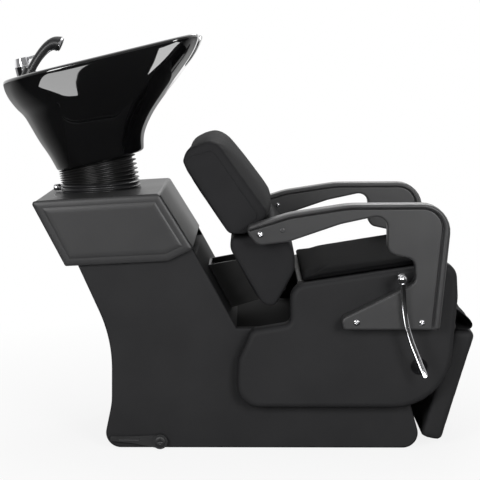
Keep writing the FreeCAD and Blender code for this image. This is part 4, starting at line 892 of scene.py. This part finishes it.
for side, label in ((-1, "right"), (1, "left")):
    arm = layered_board(label + "_arm", arm_outline, arm_layers, side, arm_satin, "base")
    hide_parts(label + "_armrest")

dome_profile = ((1.0, -0.4), (1.0, 0.35), (0.93, 0.62), (0.78, 0.84), (0.58, 0.96), (0.50, 1.0), (0.44, 1.0),
                (0.30, 1.0), (0.12, 1.0))
dome_columns = 32
slot_hub, slot_reach, slot_half_angle = 0.2, 0.48, 0.32


def button(points, faces, x, y, z, out, radius, height, recess):
    """Adds a round button on a side face at y: a dome and, where recess is set, a cross slot in it."""
    start = len(points)
    for share, rise in dome_profile:
        for j in range(dome_columns):
            turn = j / dome_columns * math.tau
            off_slot = min(turn % (math.pi / 2), math.pi / 2 - turn % (math.pi / 2))
            is_slot = share < slot_hub or (share < slot_reach and off_slot < slot_half_angle)
            level = rise - recess if is_slot else rise
            points.append((x + radius * share * math.cos(turn), y + out * height * level,
                           z + radius * share * math.sin(turn)))
    faces += capped_faces(len(dome_profile), dome_columns, start)


screw_points, screw_faces = [], []
plug_points, plug_faces = [], []
nut_points, nut_faces = [], []
screw_places = ((-0.007, 0.5298), (0.2160, 0.3248), (0.3672, 0.3248))
bolt_x, bolt_z = 0.044, 0.539
for side in (-1, 1):
    for x, z in screw_places:
        button(screw_points, screw_faces, x, side * arm_face, z, side, 0.0074, 0.0045, 0.55)
    button(plug_points, plug_faces, bolt_x, side * arm_face, bolt_z, side, 0.0058, 0.0014, 0)
    button(nut_points, nut_faces, bolt_x, side * arm_back, bolt_z, -side, 0.0062, 0.0038, 0)
screws = add_piece("arm_screws", screw_points, screw_faces, chrome, "base")
screws.modifiers.new("even_normals", "WEIGHTED_NORMAL")
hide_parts("armrest_screws")
add_piece("arm_plugs", plug_points, plug_faces, arm_satin, "base")
add_piece("arm_nuts", nut_points, nut_faces, chrome, "base")

# Stop valve handle: moulded plastic with a recessed grip near its end and a round slotted cap over
# the spindle screw.
valve_x, valve_z = -0.245, 0.021
hub_face = -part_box("stop_valve_lever")[0][1]
grip_face = hub_face - 0.0025
grip_outline = [(-0.345, 0.0325, 0.003), (-0.294, 0.0325, 0.003), (-0.294, 0.0225, 0.003),
                (-0.345, 0.0235, 0.003)]
grip_form = ((0.0, -0.001), (0.0, 0.0008), (0.0004, 0.0012), (0.0015, 0.0012), (0.0021, 0.0002))
grip_layers = []
for depth, rise in grip_form:
    grip_layers.append((flat(grip_outline, depth), flat(grip_outline, grip_face + rise)))
layered_board("valve_grip", grip_outline, grip_layers, -1, valve_plastic, "valve_lever")
spindle_points, spindle_faces = [], []
button(spindle_points, spindle_faces, valve_x, -hub_face, valve_z, -1, 0.0125, 0.0022, 0.7)
add_piece("valve_spindle_cap", spindle_points, spindle_faces, valve_plastic, "valve_lever")

# Leg-rest lever: a thin curved bar of chromed steel with a ball hub, fixed on the end of the cross
# shaft. It leans out a little at the bottom, so that a hand fits behind it.
lever_outline = [(0.3144, 0.4317, 0.004), (0.3213, 0.3173, 0.4458), (0.3703, 0.1968, 0.005),
                 (0.3811, 0.2012, 0.005), (0.3327, 0.3199, 0.4342), (0.3260, 0.4323, 0.004)]
lever_middle, lever_half = 0.325, 0.003
lever_layers = []
for turn in range(90, -91, -18):
    lever_layers.append((flat(lever_outline, lever_half * (1 - math.cos(math.radians(turn)))),
                         flat(lever_outline, lever_middle + lever_half * math.sin(math.radians(turn)))))
lever = layered_board("lever_handle", lever_outline, lever_layers, -1, chrome, "side_lever")
lever_top, lever_flare = 0.432, 0.03
for vertex in lever.data.vertices:
    vertex.co.y -= (lever_top - vertex.co.z) * lever_flare
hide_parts("lever_bar")
card_glow.objects.link(lever)

# Leg rest: a board and its foam wrapped in one vinyl cover, which swings up from under the seat, and
# a loose vinyl flap that bridges the gap between its top edge and the front of the seat.
leg_outline = [(0.4545, 0.2878, 0.008), (0.5099, 0.2878, 0.014), (0.4294, 0.0155, 0.014),
               (0.3780, 0.0292, 0.010)]
leg_half, leg_lean, leg_slope = 0.213, -15.0, 0.268
leg_held_x, leg_held_z = 0.478, 0.288
leg_pad = stuffed_block("leg_pad", leg_outline, (0, 1, 1, 0), leg_half, 0.006, leg_lean, "leg_rest",
                        cover=panel_vinyl)
inflate(leg_pad, lambda co: (co.x < leg_held_x - (leg_held_z - co.z) * leg_slope
                             or abs(co.y) > leg_half - end_held), 0.004)
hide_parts("leg_rest_pad", "leg_rest_board")
flap_line = [(0.4560, 0.3420), (0.4660, 0.3340), (0.4840, 0.3200), (0.4960, 0.3085), (0.5000, 0.2985),
             (0.4960, 0.2912), (0.4850, 0.2893), (0.4720, 0.2893), (0.4610, 0.2893)]
flap_half, flap_steps, flap_thick, flap_wave = 0.204, 24, 0.0014, 0.0012
flap_points = []
for layer in (flap_thick, -flap_thick):
    for i, (x, z) in enumerate(flap_line):
        before, after = flap_line[max(i - 1, 0)], flap_line[min(i + 1, len(flap_line) - 1)]
        run = Vector((after[0] - before[0], after[1] - before[1])).normalized()
        for step in range(flap_steps + 1):
            y = flap_half * (2 * step / flap_steps - 1)
            lift = layer + flap_wave * math.sin(step * 0.9 + i * 0.5)
            flap_points.append((x - run.y * lift, y, z + run.x * lift))
flap_columns = flap_steps + 1
flap_count = len(flap_line) * flap_columns
flap_faces = ring_faces(len(flap_line), flap_columns, False)
flap_faces += [tuple(flap_count + n for n in reversed(face)) for face in flap_faces]
edge = list(range(flap_columns))
edge += [i * flap_columns + flap_steps for i in range(1, len(flap_line))]
edge += [(len(flap_line) - 1) * flap_columns + i for i in range(flap_steps - 1, -1, -1)]
edge += [i * flap_columns for i in range(len(flap_line) - 2, 0, -1)]
for i, start in enumerate(edge):
    end = edge[(i + 1) % len(edge)]
    flap_faces.append((start, end, end + flap_count, start + flap_count))
flap = add_piece("leg_flap", flap_points, flap_faces, cushion_vinyl, None)
rounded(flap)
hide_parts("leg_rest_flap")
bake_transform(flap)
